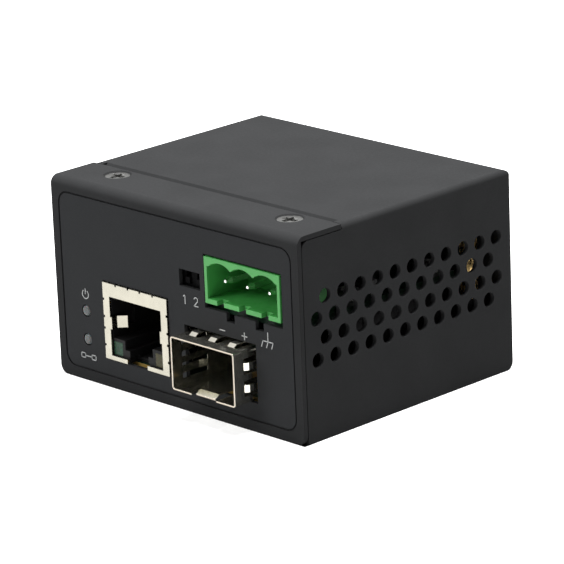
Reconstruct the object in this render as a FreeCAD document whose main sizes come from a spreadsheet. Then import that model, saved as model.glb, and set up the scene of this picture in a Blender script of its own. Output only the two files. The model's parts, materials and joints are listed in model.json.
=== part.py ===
"""Compact industrial fibre media converter: one copper RJ45 jack, one SFP cage, a three-pole
terminal header and a two-way slide DIP switch in a folded sheet-steel case.

Frame: millimetres, +Z up, the front panel faces -Y, +X to the right when looking at the
front, origin at the centre of the case's bottom face.

Every sub-part is drawn with x from the case's middle plane, y from the outer face of the
front panel (positive into the case) and z from the bottom face. Its Placement then moves it
back by half the case's depth.
"""
import FreeCAD
import Part
import math
import os
import re

import Sketcher

# ---------------------------------------------------------------- driving dimensions

SIZES = {
    # folded sheet-steel case
    "case_width": 58.2,
    "case_depth": 49.2,
    "case_height": 34.6,
    "sheet": 0.8,
    "front_bend_inside": 0.7,
    "front_corner": 1.6,      # lower corners of the front panel
    "cover_bend_inside": 0.1,
    "seam": 0.15,             # gap left between the two folded pieces
    "flange_depth": 9.8,      # flange folded back from the top of the front panel
    "tongue_front": 3.2,      # front edge of the cover's tongue under the flange
    "tongue_gap": 0.35,       # gap between the tongue and the flange above it
    "tongue_side_gap": 1.2,
    "joggle_run": 1.15,       # depth over which the cover steps down to its tongue
    "joggle_slit": 0.1,       # slit beside the step
    "lip_height": 7.0,        # lip folded down at the back of the cover
    "lip_side_gap": 0.4,
    "panel_corner": 1.4,      # rounded corners of the side panels
    # front label, sunk in a shallow recess of the front panel
    "label_side": 1.9,        # plain metal left beside, below and above the label
    "label_below": 2.15,
    "label_above": 2.45,
    "label_corner": 2.0,
    "label_thick": 0.25,
    "label_recess": 0.3,
    "label_gap": 0.3,
    # vent holes, staggered rows through both side panels
    "vent_bore": 2.5,
    "vent_pitch": 4.0,
    "vent_row": 3.43,
    "vent_top_z": 23.8,
    "vent_front": 5.66,
    # countersunk M2.5 screws that hold the cover
    "thread_major": 2.5,
    "thread_fit": 0.025,      # radial clearance between a thread and its hole
    "cover_screw_x": 20.3,
    "cover_screw_y": 7.15,
    "sink_mouth": 4.8,        # mouth of a countersink
    "sink_head": 4.3,         # flat top of a countersunk head
    "cover_screw_length": 4.0,
    "collar_outer": 4.4,      # extruded collar under a tapped hole
    "collar_height": 1.0,
    "rear_screw_drop": 4.2,   # rear screws below the top of the case
    "recess_arm": 2.9,        # cross recess of every screw
    "recess_tip": 1.2,        # length of its arms at the bottom
    "recess_slot": 1.0,
    "recess_deep": 1.1,
    # tapped M3 holes in the rear wall for a rail clip or a wall plate
    "rear_hole_bore": 3.0,
    "rear_hole_dx": 30.0,
    "rear_hole_dz": 16.0,
    "rear_hole_z": 14.0,
    # main circuit board
    "board": 1.6,
    "board_top": 5.1,
    "board_front": 1.6,
    "board_rear_gap": 3.6,    # rear edge of the main board to the back of the case
    "board_side_gap": 0.9,    # board's edge to the inside of the cover
    # power board, carried above the SFP cage
    "upper_drop": 14.85,      # power board's top face below the top of the case
    "upper_left": -1.3,
    "upper_rear_gap": 11.9,
    # stand-offs and board screws
    "post_inset": 3.8,        # stand-offs from the boards' outer edges
    "post_front": 16.2,
    "post_front_left": 13.6,
    "post_rear_gap": 6.2,     # rear stand-offs of the main board from the back of the case
    "post_upper_gap": 2.6,    # rear stand-offs of the power board from its rear edge
    "post_inner_x": 0.75,     # third stand-off of the power board
    "base_post_round": 5.2,
    "base_post_shank": 4.0,
    "base_post_sunk": 0.05,   # post ends kept just inside the floor
    "post_flats": 4.0,
    "screw_pass": 2.8,        # screw clearance hole in a board
    "pan_head": 4.4,
    "pan_height": 1.5,
    "board_screw_length": 3.9,
    # RJ45 jack
    "jack_share": 0.1624,     # middle of the jack left of the case's middle, by its width
    "jack_width": 15.5,
    "jack_height": 13.3,
    "jack_depth": 25.0,
    "jack_proud": 0.25,
    "jack_sheet": 0.3,
    "jack_fit": 0.15,
    "jack_mouth_width": 12.5,
    "jack_mouth_height": 10.25,
    "jack_sill": 0.75,
    "jack_sill_gap": 4.9,
    "jack_sill_relief": 2.0,  # depth of the housing's relief behind the gap in the sill
    "jack_slot": 0.4,
    "jack_slot_length": 5.0,
    "jack_tab": 2.1,          # height of the spring tabs folded into the mouth
    "jack_tab_z": 11.5,
    "jack_tab_root": 0.4,     # how far they stand in from the sides of the mouth
    "jack_tab_straight": 1.2,
    "jack_tab_reach": 1.25,
    "jack_step": 0.2,         # housing face behind the shield's front wall
    "jack_cavity": 13.8,
    "jack_shoulder": 2.9,     # lower corners of the cavity that hold the lenses
    "jack_shoulder_height": 3.0,
    "jack_ledge": 4.0,        # narrower ledge below each shoulder
    "jack_ledge_height": 1.4,
    "jack_lens_width": 2.1,
    "jack_lens_height": 2.3,
    "jack_lens_depth": 4.0,
    "contact_pitch": 1.02,
    "contact_wire": 0.4,
    "contact_start": 3.0,     # wires leave the ceiling behind the housing's face
    "contact_root": 1.4,
    "contact_drop": 3.0,
    "contact_clear": 2.0,
    # SFP cage and its host connector
    "cage_share": 0.179,      # middle of the cage right of the case's middle, by its width
    "cage_width": 14.7,
    "cage_height": 9.1,
    "cage_rear_gap": 4.9,     # back of the cage to the back of the case
    "cage_proud": 4.1,
    "cage_sheet": 0.25,
    "cage_gap_side": 0.95,    # panel cut-out round the cage
    "cage_gap_top": 0.7,
    "cage_gap_bottom": 0.2,
    "cage_corner": 0.55,
    "finger_start": 2.2,      # spring fingers, behind the cage's mouth
    "finger_rise": 0.7,
    "finger_length": 5.6,
    "finger_lift": 0.5,
    "finger_slot": 0.7,
    "finger_top_width": 1.5,
    "finger_top_pitch": 4.45,
    "finger_side_width": 1.25,
    "finger_side_pitch": 3.7,
    "finger_side_z": 4.5,
    "latch_width": 4.4,
    "latch_slot": 0.7,
    "latch_length": 11.0,
    "latch_lift": 0.6,
    "latch_ramp": 2.0,
    "latch_back": 0.5,        # tip of the latch tongue behind the cage's mouth
    "latch_lip": 0.9,         # run of the lip that slopes down to the tip
    "host_width": 11.4,
    "host_height": 5.4,
    "host_depth": 9.4,
    "host_rear_gap": 15.7,    # front of the connector to the back of the case
    "host_slot_height": 1.5,
    "host_slot_depth": 5.5,
    "host_pitch": 0.8,
    "host_contact": 0.25,
    "host_contact_back": 0.4,
    # three-pole terminal header
    "header_inset": 12.9,    # middle of the header from the case's right side
    "header_width": 17.2,
    "header_height": 7.85,
    "header_depth": 12.0,
    "header_proud": 0.1,
    "header_wall": 0.6,
    "header_floor": 0.8,
    "header_cusp": 1.55,      # rim thickness between two domes of the scalloped top
    "header_dome": 0.65,      # rim thickness at the top of a dome
    "header_cavity": 9.0,
    "header_fit": 0.3,
    "header_gap_below": 0.9,
    "header_notch": 1.6,
    "header_notch_depth": 1.25,
    "pole_pitch": 5.08,
    "pin": 1.0,
    "pin_up": 3.95,           # middle of the pins above the power board
    "pin_tip": 1.1,           # tip of a pin behind the front panel's face
    "pin_point": 0.4,         # end of a pin, after its taper
    "pin_taper": 1.3,
    "pin_back": 13.2,
    "pin_tail_share": 0.34,   # share of the gap above the cage that a pin's tail takes
    "key_notch": 1.85,        # two key notches in the panel below the header
    "key_notch_inset": 12.6,  # middle between them from the case's right side
    "key_notch_pitch": 6.65,
    "key_notch_drop": 2.3,    # their ends below the power board's top face
    # slide DIP switch behind its window
    "dip_gap": 0.53,          # switch to the header beside it
    "dip_window_width": 4.85,
    "dip_window_height": 2.9,
    "dip_window_up": 3.1,     # middle of the window above the power board
    "dip_width": 6.4,
    "dip_height": 5.2,
    "dip_face": 1.2,
    "dip_shell": 3.4,
    "dip_base": 2.6,
    "dip_wall": 0.8,
    "dip_pitch": 2.54,
    "lever": 1.0,
    "lever_proud": 0.4,
    "lever_travel": 1.0,
    "lever_gap": 0.1,
    "slider_width": 1.7,
    "slider_depth": 1.7,
    "slider_over": 0.3,       # slider beyond the knob, above and below
    "dip_pin": 0.5,
    # status lamps
    "lamp_inset": 7.2,        # lamps from the case's left side
    "lamp_low_z": 7.3,
    "lamp_pitch": 5.0,
    "lamp_round": 1.9,
    "lamp_hole": 2.1,
    "lamp_proud": 0.1,
    "lamp_length": 6.0,
    "lamp_flange": 0.5,
    "lamp_block_width": 4.4,
    "lamp_block_depth": 6.0,
    "lamp_block_above": 2.4,
    # board-to-board link
    "row_inset": 4.8,         # parts in rows along the boards' outer edges
    "link_y": 25.0,
    "link_pitch": 2.54,
    "link_rows": 4,
    "link_body": 2.5,
    "link_step": 2.2,         # bare pins between the strip and the socket
    "link_pin": 0.64,
    # components
    "controller_side": 11.0,
    "controller_high": 1.2,
    "controller_share": 0.2234,
    "controller_rear_gap": 14.2,
    "memory_long": 4.9,
    "memory_wide": 3.9,
    "memory_high": 1.5,
    "memory_y": 30.4,
    "crystal_long": 11.2,
    "crystal_wide": 4.6,
    "crystal_high": 3.6,
    "crystal_y": 22.4,
    "tantalum_long": 7.3,
    "tantalum_wide": 4.3,
    "tantalum_high": 2.9,
    "tantalum_y": 8.0,
    "tantalum_rear_gap": 7.7,
    "tantalum_inset": 7.0,
    "can_round": 8.0,
    "can_high": 10.0,
    "can_x": 4.2,
    "can_y": 26.5,
    "can_pitch": 9.4,
    "inductor_side": 5.6,
    "inductor_high": 4.2,
    "inductor_x": 10.4,
    "inductor_inset": 3.2,    # middle of the inductor from the power board's rear edge
    "regulator_long": 4.9,
    "regulator_wide": 3.9,
    "regulator_high": 1.6,
    "regulator_x": 12.4,
    "regulator_y": 17.8,
    "diode_long": 4.6,
    "diode_wide": 2.6,
    "diode_high": 2.3,
    "diode_y": 20.5,
    "chip_long": 1.6,
    "chip_wide": 0.8,
    "chip_high": 0.8,
    "chip_gap": 1.4,          # row of small chips behind the controller
    "chip_pitch": 1.5,
    "chip_count": 5,
    # brass pillar on a black spacer, at the rear right of the main board
    "pillar_round": 3.0,
    "pillar_inset": 2.1,
    "pillar_low": 10.6,       # its ends below the top of the case
    "pillar_high": 21.1,
    "spacer_round": 4.0,
    "soft_edge": 0.3,
}

# names for places that follow the case; each is a formula of the cells above
PLACES = {
    "board_half": "case_width / 2 - sheet - board_side_gap",
    "board_back": "case_depth - board_rear_gap",
    "upper_back": "case_depth - upper_rear_gap",
    "post_back": "case_depth - post_rear_gap",
    "jack_x": "0 - jack_share * case_width",
    "cage_x": "cage_share * case_width",
    "cage_length": "case_depth - cage_rear_gap + cage_proud",
    "host_front": "case_depth - host_rear_gap",
    "header_x": "case_width / 2 - header_inset",
    "dip_x": "header_x - header_width / 2 - dip_gap - dip_width / 2",
    "pin_tail": "pin_tail_share * (case_height - upper_drop - board - board_top - cage_height)",
    "row_x": "board_half - row_inset",
    "link_x": "row_x",
    "link_socket": "case_height - upper_drop - board - board_top - link_body - link_step",
    "diode_x": "row_x",
    "memory_x": "0 - row_x",
    "crystal_x": "0 - row_x",
    "controller_x": "0 - controller_share * case_width",
    "controller_y": "case_depth - controller_rear_gap",
    "inductor_y": "upper_back - inductor_inset",
}

TOUCH = 1e-4                # nearer than this, two places count as one
VENT_ROWS = 4
VENT_COLUMNS = 11
VECTOR = FreeCAD.Vector
OUTPUT = "parts"

document = FreeCAD.newDocument("media_converter")
dims = document.addObject("Spreadsheet::Sheet", "Dims")
for row, (alias, size) in enumerate(SIZES.items(), start=1):
    dims.set(f"A{row}", alias)
    dims.set(f"B{row}", str(size))
    dims.setAlias(f"B{row}", alias)
document.recompute()

sub_parts = []


# ---------------------------------------------------------------- expressions and drawing

def bind(text):
    """Turn a formula written with plain aliases into a spreadsheet expression."""
    def spell_out(match):
        word = match.group()
        if word in PLACES:
            return f"({bind(PLACES[word])})"
        return f"Dims.{word}" if word in SIZES else word

    return re.sub(r"[a-z_]+\b(?!\()", spell_out, str(text))


def number(text):
    """Value of a formula, with the sheet's present cells."""
    return float(dims.evalExpression(bind(text)))


def place(item, x="0", y="0", z="0"):
    item.setExpression(".Placement.Base.x", bind(x))
    item.setExpression(".Placement.Base.y", bind(y))
    item.setExpression(".Placement.Base.z", bind(z))


def block(name, x, y, z):
    """Box between two formulas along each axis."""
    item = document.addObject("Part::Box", name)
    item.setExpression("Length", bind(f"({x[1]}) - ({x[0]})"))
    item.setExpression("Width", bind(f"({y[1]}) - ({y[0]})"))
    item.setExpression("Height", bind(f"({z[1]}) - ({z[0]})"))
    place(item, x[0], y[0], z[0])
    return item


TURNS = {
    "X": FreeCAD.Rotation(VECTOR(0, 1, 0), 90),
    "Y": FreeCAD.Rotation(VECTOR(1, 0, 0), -90),
    "Z": FreeCAD.Rotation(),
    "Z twist": FreeCAD.Rotation(VECTOR(0, 0, 1), 30),
    "-Z": FreeCAD.Rotation(VECTOR(1, 0, 0), 180),
    "-Y": FreeCAD.Rotation(VECTOR(1, 0, 0), 90),
}


def turned(item, axis, at):
    item.Placement = FreeCAD.Placement(VECTOR(), TURNS[axis])
    place(item, *at)
    return item


def rod(name, axis, at, diameter, length):
    item = document.addObject("Part::Cylinder", name)
    item.setExpression("Radius", bind(f"({diameter}) / 2"))
    item.setExpression("Height", bind(length))
    return turned(item, axis, at)


def taper(name, axis, at, start_diameter, end_diameter, length):
    item = document.addObject("Part::Cone", name)
    item.setExpression("Radius1", bind(f"({start_diameter}) / 2"))
    item.setExpression("Radius2", bind(f"({end_diameter}) / 2"))
    item.setExpression("Height", bind(length))
    return turned(item, axis, at)


def hexagon(name, at, flats, length):
    item = document.addObject("Part::Prism", name)
    item.Polygon = 6
    item.setExpression("Circumradius", bind(f"({flats}) / sqrt(3)"))
    item.setExpression("Height", bind(length))
    return turned(item, "Z twist", at)


def fuse(name, items):
    if len(items) == 1:
        return items[0]
    item = document.addObject("Part::MultiFuse", name)
    item.Shapes = items
    return item


def cut(name, base, tools):
    item = document.addObject("Part::Cut", name)
    item.Base = base
    item.Tool = fuse(f"{name}_tools", tools)
    return item


def common(name, items):
    item = document.addObject("Part::MultiCommon", name)
    item.Shapes = items
    return item


def edges_where(shape, test):
    return [index for index, edge in enumerate(shape.Edges, start=1) if test(edge)]


def dress(kind, name, base, size, test):
    """Part fillet or chamfer of the edges that pass the test."""
    document.recompute()
    item = document.addObject(kind, name)
    item.Base = base
    radius = number(size)
    item.Edges = [(index, radius, radius) for index in edges_where(base.Shape, test)]
    return item


def along(edge, axis):
    """True for a straight edge parallel to a main axis."""
    box = edge.BoundBox
    spans = {"x": box.XLength, "y": box.YLength, "z": box.ZLength}
    own = spans.pop(axis)
    return edge.Curve.TypeId == "Part::GeomLine" and own > 1e-3 and max(spans.values()) < 1e-5


def near(value, formula):
    return abs(value - number(formula)) < TOUCH


PLANES = {
    "XY": FreeCAD.Rotation(),
    "XZ": FreeCAD.Rotation(VECTOR(1, 0, 0), 90),
    "YZ": FreeCAD.Rotation(VECTOR(1, 1, 1), 120),
}


def draw_polygon(sketch, points):
    """Closed outline whose corners are each held by two bound distances from the origin."""
    corners = [VECTOR(number(u), number(v), 0) for u, v in points]
    first = sketch.GeometryCount
    count = len(corners)
    for index, corner in enumerate(corners):
        sketch.addGeometry(Part.LineSegment(corner, corners[(index + 1) % count]))
    for index in range(count):
        follower = first + (index + 1) % count
        sketch.addConstraint(Sketcher.Constraint("Coincident", first + index, 2, follower, 1))
    for index, point in enumerate(points):
        for kind, formula in zip(("DistanceX", "DistanceY"), point):
            hold(sketch, Sketcher.Constraint(kind, -1, 1, first + index, 1, number(formula)),
                 formula)


def draw_circle(sketch, u, v, diameter):
    centre = VECTOR(number(u), number(v), 0)
    radius = number(f"({diameter}) / 2")
    index = sketch.addGeometry(Part.Circle(centre, VECTOR(0, 0, 1), radius))
    hold(sketch, Sketcher.Constraint("DistanceX", -1, 1, index, 3, centre.x), u)
    hold(sketch, Sketcher.Constraint("DistanceY", -1, 1, index, 3, centre.y), v)
    hold(sketch, Sketcher.Constraint("Radius", index, radius), f"({diameter}) / 2")


def draw_corner_waste(sketch, side):
    """Outline of what rounding one lower corner of the front panel takes away."""
    edge = f"{side} * case_width / 2"
    start = f"{side} * (case_width / 2 - front_corner)"
    beyond = f"{side} * (case_width / 2 + front_corner)"
    points = [(start, "0"), (start, "0 - front_corner"), (beyond, "0 - front_corner"),
              (beyond, "front_corner"), (edge, "front_corner")]
    corners = [VECTOR(number(u), number(v), 0) for u, v in points]
    first = sketch.GeometryCount
    last = first + len(corners) - 2
    for corner, follower in zip(corners, corners[1:]):
        sketch.addGeometry(Part.LineSegment(corner, follower))
    radius = number("front_corner")
    circle = Part.Circle(VECTOR(corners[0].x, radius, 0), VECTOR(0, 0, 1), radius)
    begin = 1.5 * math.pi if side > 0 else math.pi
    arc = sketch.addGeometry(Part.ArcOfCircle(circle, begin, begin + math.pi / 2))
    for index in range(first, last):
        sketch.addConstraint(Sketcher.Constraint("Coincident", index, 2, index + 1, 1))
    low, high = (1, 2) if side > 0 else (2, 1)
    sketch.addConstraint(Sketcher.Constraint("Coincident", arc, low, first, 1))
    sketch.addConstraint(Sketcher.Constraint("Coincident", arc, high, last, 2))
    ends = [(first + index, 1) for index in range(len(corners) - 1)] + [(last, 2)]
    for (line, end), point in zip(ends, points):
        for kind, formula in zip(("DistanceX", "DistanceY"), point):
            hold(sketch, Sketcher.Constraint(kind, -1, 1, line, end, number(formula)), formula)
    hold(sketch, Sketcher.Constraint("Radius", arc, radius), "front_corner")


def hold(sketch, constraint, formula):
    index = sketch.addConstraint(constraint)
    sketch.setExpression(f"Constraints[{index}]", bind(formula))


def rectangle(u, v):
    return [(u[0], v[0]), (u[1], v[0]), (u[1], v[1]), (u[0], v[1])]


def prism(name, plane, points, start, end):
    """Outline on a main plane, extruded between two formulas along the plane's own axis."""
    axis = {"XY": "Z", "XZ": "Y", "YZ": "X"}[plane]
    sketch = document.addObject("Sketcher::SketchObject", f"{name}_outline")
    draw_polygon(sketch, points)
    sketch.Placement = FreeCAD.Placement(VECTOR(), PLANES[plane])
    place(sketch, **{axis.lower(): start})
    item = document.addObject("Part::Extrusion", name)
    item.Base = sketch
    item.DirMode = "Custom"
    item.Dir = {"X": VECTOR(1, 0, 0), "Y": VECTOR(0, 1, 0), "Z": VECTOR(0, 0, 1)}[axis]
    item.setExpression("LengthFwd", bind(f"({end}) - ({start})"))
    item.Solid = True
    return item


# ---------------------------------------------------------------- PartDesign helpers

def new_body(label):
    body = document.addObject("PartDesign::Body", f"{label}_body")
    body.Label = label
    return body


def body_sketch(body, name, plane, offset="0"):
    """Sketch on one of the body's own origin planes, moved along the plane's normal."""
    sketch = body.newObject("Sketcher::SketchObject", name)
    origin_plane = next(item for item in body.Origin.OriginFeatures
                        if item.Role == f"{plane}_Plane")
    sketch.AttachmentSupport = [(origin_plane, "")]
    sketch.MapMode = "FlatFace"
    sketch.setExpression(".AttachmentOffset.Base.z", bind(offset))
    return sketch


def pad(body, sketch, length, symmetric=False, backwards=False):
    feature = body.newObject("PartDesign::Pad", f"{sketch.Name}_pad")
    feature.Profile = sketch
    feature.setExpression("Length", bind(length))
    feature.SideType = "Symmetric" if symmetric else "One side"
    feature.Reversed = backwards
    document.recompute()
    return feature


def pocket(body, sketch, length, symmetric=False, backwards=False):
    before = body.Tip.Shape.Volume
    feature = body.newObject("PartDesign::Pocket", f"{sketch.Name}_pocket")
    feature.Profile = sketch
    feature.setExpression("Length", bind(length))
    feature.SideType = "Symmetric" if symmetric else "One side"
    feature.Reversed = backwards
    document.recompute()
    if feature.Shape.Volume > before - 1e-6:
        raise ValueError(f"{feature.Name} removes nothing")
    return feature


def round_edges(body, name, radius, test):
    """Fillet of the body's present tip on the edges that pass the test."""
    base = body.Tip
    names = [f"Edge{index}" for index in edges_where(base.Shape, test)]
    feature = body.newObject("PartDesign::Fillet", name)
    feature.Base = (base, names)
    feature.setExpression("Radius", bind(radius))
    document.recompute()
    return feature


def bore(body, name, plane, centres, diameter, offset, length, backwards=False):
    sketch = body_sketch(body, name, plane, offset)
    for u, v in centres:
        draw_circle(sketch, u, v, diameter)
    return pocket(body, sketch, length, backwards=backwards)


def countersink(body, name, axis, at):
    """Conical hole right through the sheet, its mouth at the given point."""
    feature = body.newObject("PartDesign::SubtractiveCone", name)
    feature.setExpression("Radius1", bind("sink_mouth / 2"))
    feature.setExpression("Radius2", bind("sink_mouth / 2 - sheet"))
    feature.setExpression("Height", bind("sheet"))
    turned(feature, axis, at)
    document.recompute()
    return feature


# ---------------------------------------------------------------- finishing a sub-part

def seat(label, items):
    """Close a sub-part made of one or more solids and put it in the case's frame."""
    item = document.addObject("Part::Compound", f"{label}_set")
    item.Links = items
    item.Label = label
    settle(item)


def settle(item):
    place(item, y="-case_depth / 2")
    sub_parts.append(item)


# ---------------------------------------------------------------- places worked out once

INSIDE_HALF = "(case_width / 2 - sheet)"
BOARD_BOTTOM = "(board_top - board)"
UPPER_TOP = "(case_height - upper_drop)"
UPPER_BOTTOM = f"({UPPER_TOP} - board)"
POST_X = "(board_half - post_inset)"
LABEL_HALF = "(case_width / 2 - label_side)"
LABEL_TOP = "(case_height - label_above)"
REAR_SCREW_Z = "(case_height - rear_screw_drop)"
COVER_FRONT = "(sheet + seam)"
SHELL_START = "(flange_depth + seam)"
TOP_START = f"({SHELL_START} + joggle_run)"
TONGUE_TOP = "(case_height - sheet - tongue_gap)"
REAR_WALL = "(case_depth - sheet - tongue_gap)"
JACK_FRONT = "(0 - jack_proud)"
JACK_TOP = "(board_top + jack_height)"
JACK_FLOOR = "(board_top + jack_sill)"
JACK_CEILING = "(board_top + jack_sill + jack_mouth_height)"
HOUSING_FACE = "(jack_sheet + jack_step - jack_proud)"
CAGE_FRONT = "(0 - cage_proud)"
CAGE_TOP = "(board_top + cage_height)"
CAGE_HALF = "(cage_width / 2)"
HEADER_FRONT = "(0 - header_proud)"
HEADER_TOP = f"({UPPER_TOP} + header_height)"
HEADER_HALF = "(header_width / 2)"
PIN_Z = f"({UPPER_TOP} + pin_up)"
THREAD_HOLE = "(thread_major)"
THREAD_ROD = "(thread_major - 2 * thread_fit)"
WINDOW_Z = f"({UPPER_TOP} + dip_window_up)"
LAMP_X = "(lamp_inset - case_width / 2)"
POLES = ("-1", "0", "1")
LOWER_POSTS = (
    (f"0 - {POST_X}", "post_front_left"),
    (POST_X, "post_front"),
    (f"0 - {POST_X}", "post_back"),
    (POST_X, "upper_back - post_upper_gap"),
    ("post_inner_x", "upper_back - post_upper_gap"),
)
TALL_POSTS = (LOWER_POSTS[1], LOWER_POSTS[3], LOWER_POSTS[4])
SHORT_POSTS = (LOWER_POSTS[0], LOWER_POSTS[2])
CAGE_SIDE_CUT = "(cage_width / 2 + cage_gap_side)"


def panel_cutouts():
    """Outlines of the openings that the front panel and its label share, in x and z."""
    jack = f"(jack_width / 2 + jack_fit)"
    header = f"(header_width / 2 + header_fit)"
    header_low = f"({UPPER_TOP} - header_gap_below)"
    notch_low = f"{UPPER_TOP} - key_notch_drop"
    notch_left = "case_width / 2 - key_notch_inset - key_notch_pitch / 2"
    notch_right = "case_width / 2 - key_notch_inset + key_notch_pitch / 2"
    half_notch = "key_notch / 2"
    yield "jack_opening", rectangle(
        (f"jack_x - {jack}", f"jack_x + {jack}"),
        ("board_top - jack_fit", f"{JACK_TOP} + jack_fit"))
    yield "cage_opening", rectangle(
        (f"cage_x - {CAGE_SIDE_CUT}", f"cage_x + {CAGE_SIDE_CUT}"),
        ("board_top - cage_gap_bottom", f"{CAGE_TOP} + cage_gap_top"))
    yield "header_opening", [
        (f"header_x - {header}", header_low),
        (f"{notch_left} - {half_notch}", header_low),
        (f"{notch_left} - {half_notch}", notch_low),
        (f"{notch_left} + {half_notch}", notch_low),
        (f"{notch_left} + {half_notch}", header_low),
        (f"{notch_right} - {half_notch}", header_low),
        (f"{notch_right} - {half_notch}", notch_low),
        (f"{notch_right} + {half_notch}", notch_low),
        (f"{notch_right} + {half_notch}", header_low),
        (f"header_x + {header}", header_low),
        (f"header_x + {header}", f"{HEADER_TOP} + header_fit"),
        (f"header_x - {header}", f"{HEADER_TOP} + header_fit"),
    ]
    yield "switch_opening", rectangle(
        ("dip_x - dip_window_width / 2", "dip_x + dip_window_width / 2"),
        (f"{WINDOW_Z} - dip_window_height / 2", f"{WINDOW_Z} + dip_window_height / 2"))


def cut_front_openings(body, depth):
    """Cut every connector opening and both lamp holes from the front, to a given depth."""
    for name, outline in panel_cutouts():
        sketch = body_sketch(body, f"{body.Label}_{name}", "XZ")
        draw_polygon(sketch, outline)
        pocket(body, sketch, depth)
    bore(body, f"{body.Label}_lamp_holes", "XZ",
         [(LAMP_X, "lamp_low_z"), (LAMP_X, "lamp_low_z + lamp_pitch")],
         "lamp_hole", "0", depth)


# ---------------------------------------------------------------- case

def make_chassis():
    """Front panel with its top flange, floor and rear wall, folded from one sheet."""
    body = new_body("front_chassis")
    top = "case_height"
    wall_top = "case_height - sheet - seam"
    profile = body_sketch(body, "chassis_profile", "YZ")
    draw_polygon(profile, [
        ("0", "0"), (REAR_WALL, "0"), (REAR_WALL, wall_top),
        (f"{REAR_WALL} - sheet", wall_top), (f"{REAR_WALL} - sheet", "sheet"),
        ("sheet", "sheet"), ("sheet", f"{top} - sheet"),
        ("flange_depth", f"{top} - sheet"), ("flange_depth", top), ("0", top)])
    pad(body, profile, "case_width", symmetric=True)
    rear = number(REAR_WALL)
    sheet = number("sheet")
    height = number(top)
    outer_bends = ((0, height), (rear, 0))
    inner_bends = ((sheet, sheet), (sheet, height - sheet), (rear - sheet, sheet))

    def at_bend(edge, bends):
        point = edge.BoundBox.Center
        return along(edge, "x") and any(abs(point.y - y) + abs(point.z - z) < TOUCH
                                        for y, z in bends)

    round_edges(body, "outer_bends", "front_bend_inside + sheet",
                lambda edge: at_bend(edge, outer_bends))
    round_edges(body, "inner_bends", "front_bend_inside",
                lambda edge: at_bend(edge, inner_bends))
    # the floor and rear wall are narrower, so that the cover's sides close past them
    for side, name in (("-1", "left"), ("1", "right")):
        relief = body_sketch(body, f"{name}_relief", "YZ", f"{side} * case_width / 2")
        draw_polygon(relief, rectangle(("sheet", "case_depth"),
                                       ("0 - seam", "case_height - sheet")))
        pocket(body, relief, "sheet + seam", backwards=(side == "-1"))
    corners = body_sketch(body, "front_corner_waste", "XZ")
    for side in (-1, 1):
        draw_corner_waste(corners, side)
    pocket(body, corners, "sheet")
    recess = body_sketch(body, "label_recess_outline", "XZ")
    half = f"({LABEL_HALF} + label_gap)"
    draw_polygon(recess, rectangle(
        (f"0 - {half}", half), ("label_below - label_gap", f"{LABEL_TOP} + label_gap")))
    pocket(body, recess, "label_recess")
    half_recess = number(half)
    round_edges(body, "recess_corners", "label_corner + label_gap",
                lambda edge: along(edge, "y")
                and abs(abs(edge.BoundBox.Center.x) - half_recess) < TOUCH
                and edge.BoundBox.YLength < sheet / 2)
    cut_front_openings(body, "2 * sheet")
    for side in ("-1", "1"):
        name = "flange_sink" + side.replace("-1", "_left").replace("1", "_right")
        countersink(body, name, "-Z",
                    (f"{side} * cover_screw_x", "cover_screw_y", "case_height"))
    bore(body, "base_post_holes", "XY", LOWER_POSTS, "base_post_shank + 2 * thread_fit",
         "sheet", "2 * sheet")
    bore(body, "rear_tapped_holes", "XZ",
         [(f"{x} * rear_hole_dx / 2", f"rear_hole_z + {z} * rear_hole_dz / 2")
          for x in ("-1", "1") for z in ("-1", "1")],
         "rear_hole_bore", f"0 - ({REAR_WALL} - 2 * sheet)", "4 * sheet")
    collars = body_sketch(body, "rear_collars", "XZ", f"0 - ({REAR_WALL} - sheet)")
    for side in ("-1", "1"):
        draw_circle(collars, f"{side} * cover_screw_x", REAR_SCREW_Z, "collar_outer")
    pad(body, collars, "collar_height")
    bore(body, "rear_screw_threads", "XZ",
         [(f"{side} * cover_screw_x", REAR_SCREW_Z) for side in ("-1", "1")],
         THREAD_HOLE, f"0 - ({REAR_WALL} - 2 * sheet - collar_height)", "5 * sheet")
    settle(body)


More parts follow.
